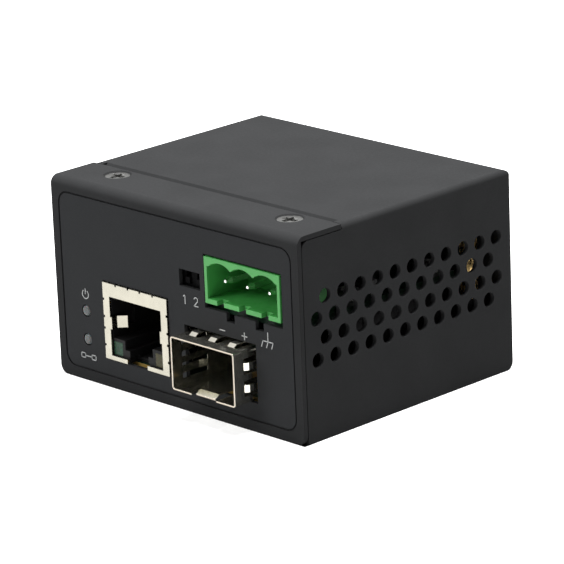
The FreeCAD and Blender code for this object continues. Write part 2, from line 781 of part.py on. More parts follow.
def make_cover():
    """Top, both vented side panels, rear lip and the tongue that goes under the flange."""
    body = new_body("top_cover")
    half = "(case_width / 2)"
    top = "case_height"
    shell = body_sketch(body, "cover_section", "XZ", f"0 - {SHELL_START}")
    draw_polygon(shell, [
        (f"0 - {half}", "0"), (f"0 - {half}", top), (half, top), (half, "0"),
        (INSIDE_HALF, "0"), (INSIDE_HALF, f"{top} - sheet"),
        (f"0 - {INSIDE_HALF}", f"{top} - sheet"), (f"0 - {INSIDE_HALF}", "0")])
    pad(body, shell, f"case_depth - {SHELL_START}", backwards=True)
    lip = body_sketch(body, "rear_lip", "XZ", "0 - (case_depth - sheet)")
    draw_polygon(lip, rectangle((f"0 - {INSIDE_HALF} - sheet / 4", f"{INSIDE_HALF} + sheet / 4"),
                                (f"{top} - lip_height", f"{top} - sheet / 2")))
    pad(body, lip, "sheet", backwards=True)
    height = number(top)
    depth = number("case_depth")
    half_width = number(half)

    def outer_fold(edge):
        centre = edge.BoundBox.Center
        side = along(edge, "y") and abs(abs(centre.x) - half_width) < TOUCH
        back = along(edge, "x") and abs(centre.y - depth) < TOUCH
        return (side or back) and abs(centre.z - height) < TOUCH

    def inner_fold(edge):
        centre = edge.BoundBox.Center
        return (along(edge, "y") and near(abs(centre.x), INSIDE_HALF)
                and near(centre.z, f"{top} - sheet"))

    round_edges(body, "cover_outer_bends", "cover_bend_inside + sheet", outer_fold)
    round_edges(body, "cover_inner_bends", "cover_bend_inside", inner_fold)
    # relief slits that part the lip from both side panels below its bend
    slits = body_sketch(body, "lip_slits", "XZ", "0 - (case_depth + sheet)")
    for side in ("-1", "1"):
        draw_polygon(slits, rectangle(
            (f"{side} * {INSIDE_HALF}", f"{side} * ({INSIDE_HALF} - lip_side_gap)"),
            (f"{top} - 2 * lip_height", f"{top} - 2 * sheet")))
    pocket(body, slits, "2.5 * sheet", backwards=True)
    for side, name in (("-1", "left"), ("1", "right")):
        inner = f"{side} * {INSIDE_HALF}"
        outer = f"{side} * {half}"
        panel = body_sketch(body, f"{name}_panel_front", "XZ", f"0 - {COVER_FRONT}")
        draw_polygon(panel, rectangle((inner, outer), ("0", f"{top} - sheet - seam")))
        pad(body, panel, f"{SHELL_START} - {COVER_FRONT} + sheet / 4", backwards=True)
    # the middle of the top steps down to a tongue under the flange, between two slits
    tongue_half = f"({INSIDE_HALF} - tongue_side_gap)"
    step = body_sketch(body, "joggle_room", "XY", f"{top} + sheet")
    draw_polygon(step, rectangle(
        (f"0 - {tongue_half} - joggle_slit", f"{tongue_half} + joggle_slit"),
        (COVER_FRONT, TOP_START)))
    pocket(body, step, "3 * sheet")
    slope = f"sheet * tan(atan((sheet + tongue_gap) / joggle_run) / 2)"
    tongue = body_sketch(body, "tongue_profile", "YZ")
    draw_polygon(tongue, [
        (f"{TOP_START} + sheet / 2", top), (TOP_START, top),
        (SHELL_START, TONGUE_TOP), ("tongue_front", TONGUE_TOP),
        ("tongue_front", f"{TONGUE_TOP} - sheet"),
        (f"{SHELL_START} + {slope}", f"{TONGUE_TOP} - sheet"),
        (f"{TOP_START} + {slope}", f"{top} - sheet"),
        (f"{TOP_START} + sheet / 2 + {slope}", f"{top} - sheet")])
    pad(body, tongue, f"2 * {tongue_half}", symmetric=True)

    def panel_corner(edge):
        centre = edge.BoundBox.Center
        rear = abs(centre.y - depth) < TOUCH and abs(centre.z) < TOUCH
        upper = near(centre.y, COVER_FRONT) and near(centre.z, f"{top} - sheet - seam")
        return along(edge, "x") and (rear or upper)

    round_edges(body, "side_panel_corners", "panel_corner", panel_corner)
    collars = body_sketch(body, "tongue_collars", "XY", f"{TONGUE_TOP} - sheet")
    for side in ("-1", "1"):
        draw_circle(collars, f"{side} * cover_screw_x", "cover_screw_y", "collar_outer")
    pad(body, collars, "collar_height", backwards=True)
    bore(body, "tongue_threads", "XY",
         [(f"{side} * cover_screw_x", "cover_screw_y") for side in ("-1", "1")],
         THREAD_HOLE, f"{TONGUE_TOP} + sheet", "4 * sheet + collar_height")
    for side in ("-1", "1"):
        name = "lip_sink" + side.replace("-1", "_left").replace("1", "_right")
        countersink(body, name, "-Y", (f"{side} * cover_screw_x", "case_depth", REAR_SCREW_Z))
    vents = body_sketch(body, "vent_columns", "YZ")
    for row in range(VENT_ROWS):
        shift = f"{row % 2} * vent_pitch / 2"
        draw_circle(vents, f"vent_front - {shift}", f"vent_top_z - {row} * vent_row",
                    "vent_bore")
    holes = pocket(body, vents, "2 * case_width", symmetric=True)
    columns = body.newObject("PartDesign::LinearPattern", "vent_pattern")
    columns.Originals = [holes]
    columns.Direction = (vents, ["H_Axis"])
    columns.setExpression("Length", bind(f"{VENT_COLUMNS - 1} * vent_pitch"))
    columns.Occurrences = VENT_COLUMNS
    body.Tip = columns
    document.recompute()
    settle(body)


def make_label():
    """Plastic front label, laid in the recess of the front panel."""
    body = new_body("front_label")
    plate = body_sketch(body, "label_plate", "XZ", "0 - (label_recess - label_thick)")
    draw_polygon(plate, rectangle((f"0 - {LABEL_HALF}", LABEL_HALF), ("label_below", LABEL_TOP)))
    pad(body, plate, "label_thick", backwards=True)
    round_edges(body, "label_corners", "label_corner", lambda edge: along(edge, "y"))
    cut_front_openings(body, "2 * sheet")
    settle(body)


# ---------------------------------------------------------------- screws and stand-offs

def cross_recess(name, axis, at):
    """Two crossed slots with tapered ends, sunk into a screw's head from a point on its top."""
    x, y, z = at

    def slot(across, down):
        return [(f"({across}) - recess_arm / 2", f"({down}) + recess_deep"),
                (f"({across}) - recess_arm / 2", down),
                (f"({across}) - recess_tip / 2", f"({down}) - recess_deep"),
                (f"({across}) + recess_tip / 2", f"({down}) - recess_deep"),
                (f"({across}) + recess_arm / 2", down),
                (f"({across}) + recess_arm / 2", f"({down}) + recess_deep")]

    def width(middle):
        return f"({middle}) - recess_slot / 2", f"({middle}) + recess_slot / 2"

    if axis == "Z":
        return [prism(f"{name}_slot_a", "XZ", slot(x, z), *width(y)),
                prism(f"{name}_slot_b", "YZ", slot(y, z), *width(x))]
    return [prism(f"{name}_slot_a", "XY", slot(x, y), *width(z)),
            prism(f"{name}_slot_b", "YZ", [(y_at, z_at) for z_at, y_at in slot(z, y)], *width(x))]


def sunk_screw(name, axis, at):
    """Countersunk screw seated in its cone; at is the mouth of the countersink."""
    x, y, z = at
    down = "(sink_mouth / 2 - sink_head / 2 - thread_fit)"
    head_length = f"(sink_head / 2 - {THREAD_ROD} / 2)"
    shank = f"cover_screw_length - {head_length}"
    if axis == "-Z":
        head_at = (x, y, f"{z} - {down}")
        shank_at = (x, y, f"{z} - {down} - {head_length}")
        recess = cross_recess(name, "Z", head_at)
    else:
        head_at = (x, f"{y} - {down}", z)
        shank_at = (x, f"{y} - {down} - {head_length}", z)
        recess = cross_recess(name, "Y", head_at)
    head = taper(f"{name}_head", axis, head_at, "sink_head", THREAD_ROD, head_length)
    stem = rod(f"{name}_stem", axis, shank_at, THREAD_ROD, shank)
    return cut(name, fuse(f"{name}_solid", [head, stem]), recess)


def make_cover_screws():
    screws = []
    for side, name in (("-1", "left"), ("1", "right")):
        x = f"{side} * cover_screw_x"
        screws.append(sunk_screw(f"front_screw_{name}", "-Z",
                                 (x, "cover_screw_y", "case_height")))
        screws.append(sunk_screw(f"rear_screw_{name}", "-Y", (x, "case_depth", REAR_SCREW_Z)))
    seat("cover_screws", screws)


def make_base_posts():
    """Round posts pressed into the floor, tapped right through."""
    posts = []
    for index, (x, y) in enumerate(LOWER_POSTS):
        wide = rod(f"base_post_{index}_collar", "Z", (x, y, "sheet"), "base_post_round",
                   f"{BOARD_BOTTOM} - sheet")
        shank = rod(f"base_post_{index}_shank", "Z", (x, y, "base_post_sunk"),
                    "base_post_shank", "sheet - base_post_sunk")
        hole = rod(f"base_post_{index}_thread", "Z", (x, y, "0 - sheet"), THREAD_HOLE,
                   f"{BOARD_BOTTOM} + 2 * sheet")
        solid = fuse(f"base_post_{index}_solid", [wide, shank])
        posts.append(cut(f"base_post_{index}", solid, [hole]))
    seat("base_standoffs", posts)


def make_tall_posts():
    """Hexagonal black nylon posts that stand on the main board and carry the power board."""
    posts = []
    for index, (x, y) in enumerate(TALL_POSTS):
        length = f"{UPPER_BOTTOM} - board_top"
        barrel = hexagon(f"tall_post_{index}_hex", (x, y, "board_top"), "post_flats", length)
        stud = rod(f"tall_post_{index}_stud", "-Z", (x, y, "board_top"), THREAD_ROD,
                   "board_screw_length")
        hole = rod(f"tall_post_{index}_thread", "-Z", (x, y, f"{UPPER_BOTTOM} + sheet"),
                   THREAD_HOLE, "board_screw_length + 2 * sheet")
        solid = fuse(f"tall_post_{index}_solid", [barrel, stud])
        posts.append(cut(f"tall_post_{index}", solid, [hole]))
    seat("hex_standoffs", posts)


def pan_screw(name, x, y, z):
    """Pan-head screw with its head resting on the height z."""
    head = rod(f"{name}_head", "Z", (x, y, z), "pan_head", "pan_height")
    soft = dress("Part::Fillet", f"{name}_round", head, "pan_height / 2",
                 lambda edge: edge.Curve.TypeId == "Part::GeomCircle"
                 and near(edge.BoundBox.ZMin, f"{z} + pan_height"))
    stem = rod(f"{name}_stem", "-Z", (x, y, z), THREAD_ROD, "board_screw_length")
    recess = cross_recess(name, "Z", (x, y, f"{z} + pan_height"))
    return cut(name, fuse(f"{name}_solid", [soft, stem]), recess)


def make_board_screws():
    screws = [pan_screw(f"main_screw_{index}", x, y, "board_top")
              for index, (x, y) in enumerate(SHORT_POSTS)]
    screws += [pan_screw(f"power_screw_{index}", x, y, UPPER_TOP)
               for index, (x, y) in enumerate(TALL_POSTS)]
    seat("board_screws", screws)


# ---------------------------------------------------------------- boards

def make_main_board():
    body = new_body("main_board")
    outline = body_sketch(body, "main_board_outline", "XY", BOARD_BOTTOM)
    draw_polygon(outline, rectangle(("0 - board_half", "board_half"),
                                    ("board_front", "board_back")))
    pad(body, outline, "board")
    bore(body, "main_board_screw_holes", "XY", LOWER_POSTS, "screw_pass",
         "board_top + board", "3 * board")
    settle(body)


def header_pin_holes():
    return [(f"header_x + {pole} * pole_pitch", "pin_back - pin / 2") for pole in POLES]


def dip_pin_places():
    return [(f"dip_x + {side} * dip_pitch / 2", y) for side in ("-1", "1")
            for y in ("dip_face + dip_shell + dip_base / 4",
                      "dip_face + dip_shell + 3 * dip_base / 4")]


def make_power_board():
    body = new_body("power_board")
    outline = body_sketch(body, "power_board_outline", "XY", UPPER_BOTTOM)
    draw_polygon(outline, rectangle(("upper_left", "board_half"),
                                    ("board_front", "upper_back")))
    pad(body, outline, "board")
    bore(body, "power_board_screw_holes", "XY", TALL_POSTS, "screw_pass",
         f"{UPPER_TOP} + board", "3 * board")
    bore(body, "header_pin_holes", "XY", header_pin_holes(), "pin * sqrt(2) + seam",
         f"{UPPER_TOP} + board", "3 * board")
    bore(body, "switch_pin_holes", "XY", dip_pin_places(), "dip_pin * sqrt(2) + seam",
         f"{UPPER_TOP} + board", "3 * board")
    settle(body)


# ---------------------------------------------------------------- RJ45 jack

def make_jack_shield():
    """Tinned shell, open below, with a framed mouth and two spring tabs folded inwards."""
    half = "(jack_width / 2)"
    back = f"({JACK_FRONT} + jack_depth)"
    shell = block("shield_outside", (f"jack_x - {half}", f"jack_x + {half}"),
                  (JACK_FRONT, back), ("board_top", JACK_TOP))
    inside = f"({half} - jack_sheet)"
    hollow = block("shield_inside", (f"jack_x - {inside}", f"jack_x + {inside}"),
                   (f"{JACK_FRONT} + jack_sheet", f"{back} - jack_sheet"),
                   ("board_top - sheet", f"{JACK_TOP} - jack_sheet"))
    mouth = "(jack_mouth_width / 2)"
    front = (f"{JACK_FRONT} - sheet", f"{JACK_FRONT} + 2 * jack_sheet")
    opening = block("shield_mouth", (f"jack_x - {mouth}", f"jack_x + {mouth}"), front,
                    (JACK_FLOOR, JACK_CEILING))
    gap = block("shield_sill_gap",
                ("jack_x - jack_sill_gap / 2", "jack_x + jack_sill_gap / 2"), front,
                ("board_top - sheet", f"{JACK_FLOOR} + jack_sheet"))
    tools = [hollow, opening, gap]
    run = (f"{JACK_FRONT} - sheet", f"{JACK_FRONT} + jack_slot_length")
    top_shares = ("0.205", "0.40", "0.585", "0.785")
    side_shares = ("0.22", "0.447", "0.598", "0.82")
    for index, (top_share, side_share) in enumerate(zip(top_shares, side_shares)):
        across = f"(jack_x - {half} + {top_share} * jack_width)"
        down = f"({JACK_TOP} - {side_share} * jack_height)"
        tools.append(block(f"shield_top_slot_{index}",
                           (f"{across} - jack_slot / 2", f"{across} + jack_slot / 2"), run,
                           (f"{JACK_TOP} - jack_sheet", f"{JACK_TOP} + sheet")))
        for side, name in (("-1", "left"), ("1", "right")):
            outer = f"(jack_x + {side} * ({half} + sheet))"
            inner = f"(jack_x + {side} * ({half} - jack_sheet))"
            span = (outer, inner) if side == "-1" else (inner, outer)
            tools.append(block(f"shield_{name}_slot_{index}", span, run,
                               (f"{down} - jack_slot / 2", f"{down} + jack_slot / 2")))
    pieces = [cut("shield_shell", shell, tools)]
    low = "jack_tab_z - jack_tab / 2"
    high = "jack_tab_z + jack_tab / 2"
    for side, name in (("-1", "left"), ("1", "right")):
        edge = f"(jack_x + {side} * {mouth})"
        face = f"({edge} - {side} * jack_tab_root)"
        start = f"({JACK_FRONT} + jack_tab_straight)"
        pieces.append(prism(f"shield_tab_{name}", "XY", [
            (f"{edge} + {side} * jack_sheet", JACK_FRONT), (face, JACK_FRONT),
            (face, start),
            (f"{face} - {side} * jack_tab_reach", f"{start} + jack_tab_reach"),
            (f"{face} - {side} * (jack_tab_reach - jack_sheet)",
             f"{start} + jack_tab_reach + jack_sheet"),
            (f"{face} + {side} * jack_sheet", f"{start} + jack_sheet / 2"),
            (f"{face} + {side} * jack_sheet", f"{JACK_FRONT} + jack_sheet"),
            (f"{edge} + {side} * jack_sheet", f"{JACK_FRONT} + jack_sheet")], low, high))
    seat("rj45_shield", [fuse("shield_solid", pieces)])


def lens_block(name, side, face):
    """Space of one indicator lens in a lower corner of the jack's mouth."""
    outer = f"(jack_x + {side} * (jack_mouth_width / 2 - seam))"
    inner = f"({outer} - {side} * jack_lens_width)"
    span = (outer, inner) if side == "-1" else (inner, outer)
    return block(name, span, (face, f"{HOUSING_FACE} + jack_lens_depth"),
                 (f"{JACK_FLOOR} + seam", f"{JACK_FLOOR} + seam + jack_lens_height"))


def make_jack_housing():
    """Moulded insert with the plug cavity, stepped at its lower corners."""
    inside = "(jack_width / 2 - jack_sheet)"
    body = block("insert_outside", (f"jack_x - {inside}", f"jack_x + {inside}"),
                 (HOUSING_FACE, f"{JACK_FRONT} + jack_depth - jack_sheet"),
                 ("board_top", f"{JACK_TOP} - jack_sheet"))
    half = "(jack_mouth_width / 2)"
    shoulder = f"({half} - jack_shoulder)"
    ledge = f"({half} - jack_ledge)"
    shoulder_top = f"({JACK_FLOOR} + jack_shoulder_height)"
    ledge_top = f"({JACK_FLOOR} + jack_ledge_height)"
    cavity = prism("insert_cavity", "XZ", [
        (f"jack_x - {half}", JACK_CEILING), (f"jack_x - {half}", shoulder_top),
        (f"jack_x - {shoulder}", shoulder_top), (f"jack_x - {shoulder}", ledge_top),
        (f"jack_x - {ledge}", ledge_top), (f"jack_x - {ledge}", JACK_FLOOR),
        (f"jack_x + {ledge}", JACK_FLOOR), (f"jack_x + {ledge}", ledge_top),
        (f"jack_x + {shoulder}", ledge_top), (f"jack_x + {shoulder}", shoulder_top),
        (f"jack_x + {half}", shoulder_top), (f"jack_x + {half}", JACK_CEILING)],
        f"{HOUSING_FACE} - sheet", f"{HOUSING_FACE} + jack_cavity")
    # reliefs beside the mouth for the two folded spring tabs
    reliefs = []
    for side, name in (("-1", "left"), ("1", "right")):
        near_side = f"(jack_x + {side} * ({half} - jack_sheet))"
        far_side = f"(jack_x + {side} * ({half} + jack_sheet + seam))"
        span = (far_side, near_side) if side == "-1" else (near_side, far_side)
        reliefs.append(block(f"insert_tab_relief_{name}", span,
                             (f"{HOUSING_FACE} - sheet", f"{HOUSING_FACE} + 4 * jack_tab_reach"),
                             ("jack_tab_z - jack_tab / 2 - seam",
                              "jack_tab_z + jack_tab / 2 + seam")))
    reliefs.append(block("insert_sill_relief",
                         ("jack_x - jack_sill_gap / 2", "jack_x + jack_sill_gap / 2"),
                         (f"{HOUSING_FACE} - sheet", f"{HOUSING_FACE} + jack_sill_relief"),
                         ("board_top - sheet", f"{JACK_FLOOR} + jack_sheet")))
    lenses = [lens_block(f"insert_lens_pocket_{name}", side, f"{HOUSING_FACE} - sheet")
              for side, name in (("-1", "left"), ("1", "right"))]
    seat("rj45_housing", [cut("insert_solid", body, [cavity] + reliefs + lenses)])


def make_jack_lenses():
    for side, label in (("-1", "rj45_green_lens"), ("1", "rj45_yellow_lens")):
        seat(label, [lens_block(f"{label}_block", side, HOUSING_FACE)])


def make_jack_contacts():
    """Eight spring wires that slope down from the cavity's ceiling."""
    start = f"({HOUSING_FACE} + contact_start)"
    end = f"({HOUSING_FACE} + jack_cavity - contact_clear)"
    low = f"({JACK_CEILING} - contact_drop - contact_wire)"
    wires = []
    for index in range(8):
        middle = f"(jack_x + {index - 3.5} * contact_pitch)"
        wires.append(prism(f"jack_wire_{index}", "YZ", [
            (start, JACK_CEILING), (f"{start} + contact_root", JACK_CEILING),
            (end, f"{low} + contact_wire"), (end, low), (f"{end} - contact_wire", low),
            (start, f"{JACK_CEILING} - contact_wire")],
            f"{middle} - contact_wire / 2", f"{middle} + contact_wire / 2"))
    seat("rj45_contacts", wires)


# ---------------------------------------------------------------- SFP cage

def finger_outline(base, sign):
    """Side view of a spring finger: it lifts off the cage wall and comes back to it."""
    start = f"({CAGE_FRONT} + finger_start)"
    end = f"({start} + finger_length)"
    under = f"({base} - {sign} * cage_sheet)"
    lifted = f"({base} + {sign} * finger_lift)"
    lifted_under = f"({under} + {sign} * finger_lift)"
    return [
        (f"{start} - cage_sheet", under), (start, under),
        (f"{start} + finger_rise", lifted_under),
        (f"{end} - 2 * finger_rise", lifted_under), (end, under),
        (f"{end} + cage_sheet", under), (f"{end} + cage_sheet", base), (end, base),
        (f"{end} - 2 * finger_rise", lifted), (f"{start} + finger_rise", lifted),
        (start, base), (f"{start} - cage_sheet", base)]


def make_cage():
    """Folded cage: sprung fingers round the mouth, a latch tongue in the floor, open mouth."""
    half = CAGE_HALF
    back = f"({CAGE_FRONT} + cage_length)"
    outside = block("cage_outside", (f"cage_x - {half}", f"cage_x + {half}"),
                    (CAGE_FRONT, back), ("board_top", CAGE_TOP))
    rounded = dress("Part::Fillet", "cage_folds", outside, "cage_corner",
                    lambda edge: along(edge, "y"))
    inner = f"({half} - cage_sheet)"
    inside = block("cage_inside", (f"cage_x - {inner}", f"cage_x + {inner}"),
                   (f"{CAGE_FRONT} - sheet", f"{back} - cage_sheet"),
                   ("board_top + cage_sheet", f"{CAGE_TOP} - cage_sheet"))
    hollow = dress("Part::Fillet", "cage_inner_folds", inside, "cage_corner - cage_sheet",
                   lambda edge: along(edge, "y"))
    start = f"({CAGE_FRONT} + finger_start)"
    window = (start, f"{start} + finger_length")
    tools = [hollow]
    fingers = []
    for step, name in (("-1", "left"), ("0", "middle"), ("1", "right")):
        middle = f"(cage_x + {step} * finger_top_pitch)"
        wide = "(finger_top_width / 2 + finger_slot)"
        tools.append(block(f"cage_top_window_{name}", (f"{middle} - {wide}", f"{middle} + {wide}"),
                           window, (f"{CAGE_TOP} - 2 * cage_sheet", f"{CAGE_TOP} + sheet")))
        fingers.append(prism(f"cage_top_finger_{name}", "YZ", finger_outline(CAGE_TOP, "1"),
                             f"{middle} - finger_top_width / 2",
                             f"{middle} + finger_top_width / 2"))
    for side, side_name in (("-1", "left"), ("1", "right")):
        wall = f"(cage_x + {side} * {half})"
        reach = f"(cage_x + {side} * ({half} + sheet))"
        within = f"(cage_x + {side} * ({half} - 2 * cage_sheet))"
        span = (reach, within) if side == "-1" else (within, reach)
        for step, name in (("-1", "low"), ("1", "high")):
            middle = f"(board_top + finger_side_z + {step} * finger_side_pitch / 2)"
            wide = "(finger_side_width / 2 + finger_slot)"
            tools.append(block(f"cage_{side_name}_window_{name}", span, window,
                               (f"{middle} - {wide}", f"{middle} + {wide}")))
            outline = [(x, y) for y, x in finger_outline(wall, side)]
            fingers.append(prism(f"cage_{side_name}_finger_{name}", "XY", outline,
                                 f"{middle} - finger_side_width / 2",
                                 f"{middle} + finger_side_width / 2"))
    latch_half = "(latch_width / 2 + latch_slot)"
    tools.append(block("cage_latch_slot", (f"cage_x - {latch_half}", f"cage_x + {latch_half}"),
                       (f"{CAGE_FRONT} - sheet", f"{CAGE_FRONT} + latch_length"),
                       ("board_top - sheet", "board_top + 2 * cage_sheet")))
    tools.append(block("cage_host_window", ("cage_x - host_width / 2 - seam",
                                            "cage_x + host_width / 2 + seam"),
                       ("host_front - seam", f"{back} - 2 * cage_sheet"),
                       ("board_top - sheet", "board_top + 2 * cage_sheet")))
    shell = cut("cage_shell", rounded, tools)
    # latch tongue: from the floor it rises into the cage and slopes down at the mouth
    root = f"({CAGE_FRONT} + latch_length)"
    tip = f"({CAGE_FRONT} + latch_back)"
    floor = "board_top"
    raised = "(board_top + latch_lift)"
    tongue = prism("cage_latch_tongue", "YZ", [
        (f"{root} + cage_sheet", floor), (root, floor),
        (f"{root} - latch_ramp", raised), (f"{tip} + latch_lip", raised), (tip, floor),
        (tip, f"{floor} + cage_sheet"), (f"{tip} + latch_lip", f"{raised} + cage_sheet"),
        (f"{root} - latch_ramp", f"{raised} + cage_sheet"), (root, f"{floor} + cage_sheet"),
        (f"{root} + cage_sheet", f"{floor} + cage_sheet")],
        "cage_x - latch_width / 2", "cage_x + latch_width / 2")
    seat("sfp_cage", [fuse("cage_solid", [shell] + fingers + [tongue])])


def make_host_connector():
    """Edge connector at the back of the cage, with two rows of contacts."""
    back = "host_front + host_depth"
    body = block("host_body", ("cage_x - host_width / 2", "cage_x + host_width / 2"),
                 ("host_front", back), ("board_top", "board_top + host_height"))
    middle = "(board_top + host_height / 2)"
    slot = block("host_slot", ("cage_x - host_width / 2 + sheet", "cage_x + host_width / 2 - sheet"),
                 ("host_front - sheet", "host_front + host_slot_depth"),
                 (f"{middle} - host_slot_height / 2", f"{middle} + host_slot_height / 2"))
    seat("sfp_connector", [cut("host_solid", body, [slot])])
    fingers = []
    for row, name in (("-1", "lower"), ("1", "upper")):
        face = f"({middle} + {row} * host_slot_height / 2)"
        lifted = f"({face} - {row} * host_contact)"
        span = (face, lifted) if row == "-1" else (lifted, face)
        for index in range(10):
            across = f"(cage_x + {index - 4.5} * host_pitch)"
            fingers.append(block(f"host_{name}_contact_{index}",
                                 (f"{across} - host_pitch / 4", f"{across} + host_pitch / 4"),
                                 ("host_front + host_contact_back", "host_front + host_slot_depth"), span))
    seat("sfp_contacts", fingers)


# ---------------------------------------------------------------- terminal header

def make_header():
    """Header housing: an open box whose upper rim is scalloped over the three poles."""
    body = block("header_outside", (f"header_x - {HEADER_HALF}", f"header_x + {HEADER_HALF}"),
                 (HEADER_FRONT, f"{HEADER_FRONT} + header_depth"), (UPPER_TOP, HEADER_TOP))
    inside = f"({HEADER_HALF} - header_wall)"
    span = (f"header_x - {inside}", f"header_x + {inside}")
    run = (f"{HEADER_FRONT} - sheet", f"{HEADER_FRONT} + header_cavity")
    cusp = f"({HEADER_TOP} - header_cusp)"
    room = block("header_room", span, run, (f"{UPPER_TOP} + header_floor", cusp))
    rise = "(header_cusp - header_dome)"
    radius = f"((pole_pitch * pole_pitch / 4 + {rise} * {rise}) / (2 * {rise}))"
    rounds = []
    for index, pole in enumerate(POLES):
        rounds.append(rod(f"header_dome_{index}", "Y",
                          (f"header_x + {pole} * pole_pitch", run[0],
                           f"{HEADER_TOP} - header_dome - {radius}"),
                          f"2 * {radius}", f"header_cavity + sheet"))
    above = block("header_above_cusps", span, run, (f"{cusp} - sheet / 2", HEADER_TOP))
    domes = common("header_domes", [fuse("header_rounds", rounds), above])
    tools = [room, domes]
    for index, pole in enumerate(POLES):
        middle = f"(header_x + {pole} * pole_pitch)"
        tools.append(block(f"header_notch_{index}",
                           (f"{middle} - header_notch / 2", f"{middle} + header_notch / 2"),
                           (run[0], f"{HEADER_FRONT} + header_notch_depth"),
                           (f"{UPPER_TOP} - sheet", f"{UPPER_TOP} + 2 * header_floor")))
        tools.append(block(f"header_pin_hole_{index}",
                           (f"{middle} - pin / 2", f"{middle} + pin / 2"),
                           (f"{HEADER_FRONT} + header_cavity - sheet",
                            f"{HEADER_FRONT} + header_depth + sheet"),
                           (f"{PIN_Z} - pin / 2", f"{PIN_Z} + pin / 2")))
    seat("terminal_header", [cut("header_solid", body, tools)])


def make_header_pins():
    """Three square pins, bent down behind the housing and through the power board."""
    pins = []
    for index, pole in enumerate(POLES):
        middle = f"(header_x + {pole} * pole_pitch)"
        half = "pin / 2"
        point = "pin_point / 2"
        full = "pin_tip + pin_taper"
        side_view = prism(f"header_pin_{index}_side", "YZ", [
            ("pin_tip", f"{PIN_Z} - {point}"), (full, f"{PIN_Z} - {half}"),
            ("pin_back - pin", f"{PIN_Z} - {half}"),
            ("pin_back - pin", f"{UPPER_BOTTOM} - pin_tail"),
            ("pin_back", f"{UPPER_BOTTOM} - pin_tail"), ("pin_back", f"{PIN_Z} + {half}"),
            (full, f"{PIN_Z} + {half}"), ("pin_tip", f"{PIN_Z} + {point}")],
            f"{middle} - {half}", f"{middle} + {half}")
        top_view = prism(f"header_pin_{index}_top", "XY", [
            (f"{middle} - {point}", "pin_tip"), (f"{middle} + {point}", "pin_tip"),
            (f"{middle} + {half}", full), (f"{middle} + {half}", "pin_back + pin"),
            (f"{middle} - {half}", "pin_back + pin"), (f"{middle} - {half}", full)],
            "0", "case_height")
        pins.append(common(f"header_pin_{index}", [side_view, top_view]))
    seat("terminal_pins", pins)


# ---------------------------------------------------------------- DIP switch

LEVER_LOW = f"({WINDOW_Z} - lever / 2 - lever_travel / 2)"
SLIDER_FRONT = "(dip_face + dip_wall + lever_gap)"


def make_dip_switch():
    """Switch shell with a slot for each lever, its base, and four leads."""
    half = "(dip_width / 2)"
    span = (f"dip_x - {half}", f"dip_x + {half}")
    body = block("switch_shell", span, ("dip_face", "dip_face + dip_shell"),
                 (UPPER_TOP, f"{UPPER_TOP} + dip_height"))
    tools = []
    for index, side in enumerate(("-1", "1")):
        middle = f"(dip_x + {side} * dip_pitch / 2)"
        slot = "(lever / 2 + lever_gap)"
        tools.append(block(f"switch_slot_{index}", (f"{middle} - {slot}", f"{middle} + {slot}"),
                           ("dip_face - sheet", "dip_face + dip_shell / 2"),
                           (f"{LEVER_LOW} - lever_gap",
                            f"{LEVER_LOW} + lever + lever_travel + lever_gap")))
        room = "(slider_width / 2 + lever_gap)"
        tools.append(block(f"switch_room_{index}", (f"{middle} - {room}", f"{middle} + {room}"),
                           ("dip_face + dip_wall", "dip_face + dip_shell + sheet"),
                           (f"{LEVER_LOW} - slider_over - lever_gap",
                            f"{LEVER_LOW} + lever + slider_over + lever_travel + lever_gap")))
    seat("dip_switch_shell", [cut("switch_solid", body, tools)])
    seat("dip_switch_base", [block("switch_base", span,
                                   ("dip_face + dip_shell", "dip_face + dip_shell + dip_base"),
                                   (UPPER_TOP, f"{UPPER_TOP} + dip_height"))])
    leads = [block(f"switch_lead_{index}", (f"{x} - dip_pin / 2", f"{x} + dip_pin / 2"),
                   (f"{y} - dip_pin / 2", f"{y} + dip_pin / 2"),
                   (f"{UPPER_BOTTOM} - pin_tail", UPPER_TOP))
             for index, (x, y) in enumerate(dip_pin_places())]
    seat("dip_switch_pins", leads)


def make_dip_levers():
    """Each lever is a knob in the slot with a wider slider behind it."""
    for index, side in enumerate(("-1", "1"), start=1):
        middle = f"(dip_x + {side} * dip_pitch / 2)"
        knob = block(f"lever_{index}_knob", (f"{middle} - lever / 2", f"{middle} + lever / 2"),
                     ("dip_face - lever_proud", f"{SLIDER_FRONT} + seam"),
                     (LEVER_LOW, f"{LEVER_LOW} + lever"))
        slider = block(f"lever_{index}_slider",
                       (f"{middle} - slider_width / 2", f"{middle} + slider_width / 2"),
                       (SLIDER_FRONT, f"{SLIDER_FRONT} + slider_depth"),
                       (f"{LEVER_LOW} - slider_over", f"{LEVER_LOW} + lever + slider_over"))
        seat(f"dip_lever_{index}", [fuse(f"lever_{index}_solid", [knob, slider])])


# ---------------------------------------------------------------- status lamps

def make_lamps():
    """Two round lamps, one above the other, in a black holder behind the panel."""
    half = "(lamp_block_width / 2)"
    back = "(board_front + lamp_block_depth)"
    top = "(lamp_low_z + lamp_pitch + lamp_block_above)"
    body = block("lamp_block", (f"{LAMP_X} - {half}", f"{LAMP_X} + {half}"), ("board_front", back),
                 ("board_top", top))
    tools = []
    for index, label in enumerate(("link_lamp", "power_lamp")):
        z = f"(lamp_low_z + {index} * lamp_pitch)"
        tools.append(rod(f"{label}_bore", "Y", (LAMP_X, "0", z), "lamp_round",
                         f"{back} - sheet"))
        lens = rod(f"{label}_rod", "Y", (LAMP_X, "0 - lamp_proud", z), "lamp_round",
                   f"{back} - sheet + lamp_proud")
        soft = dress("Part::Fillet", f"{label}_dome", lens, "lamp_round / 4",
                     lambda edge: edge.Curve.TypeId == "Part::GeomCircle"
                     and near(edge.BoundBox.YMax, "0 - lamp_proud"))
        seat(label, [soft])
    seat("lamp_holder", [cut("lamp_holder_solid", body, tools)])


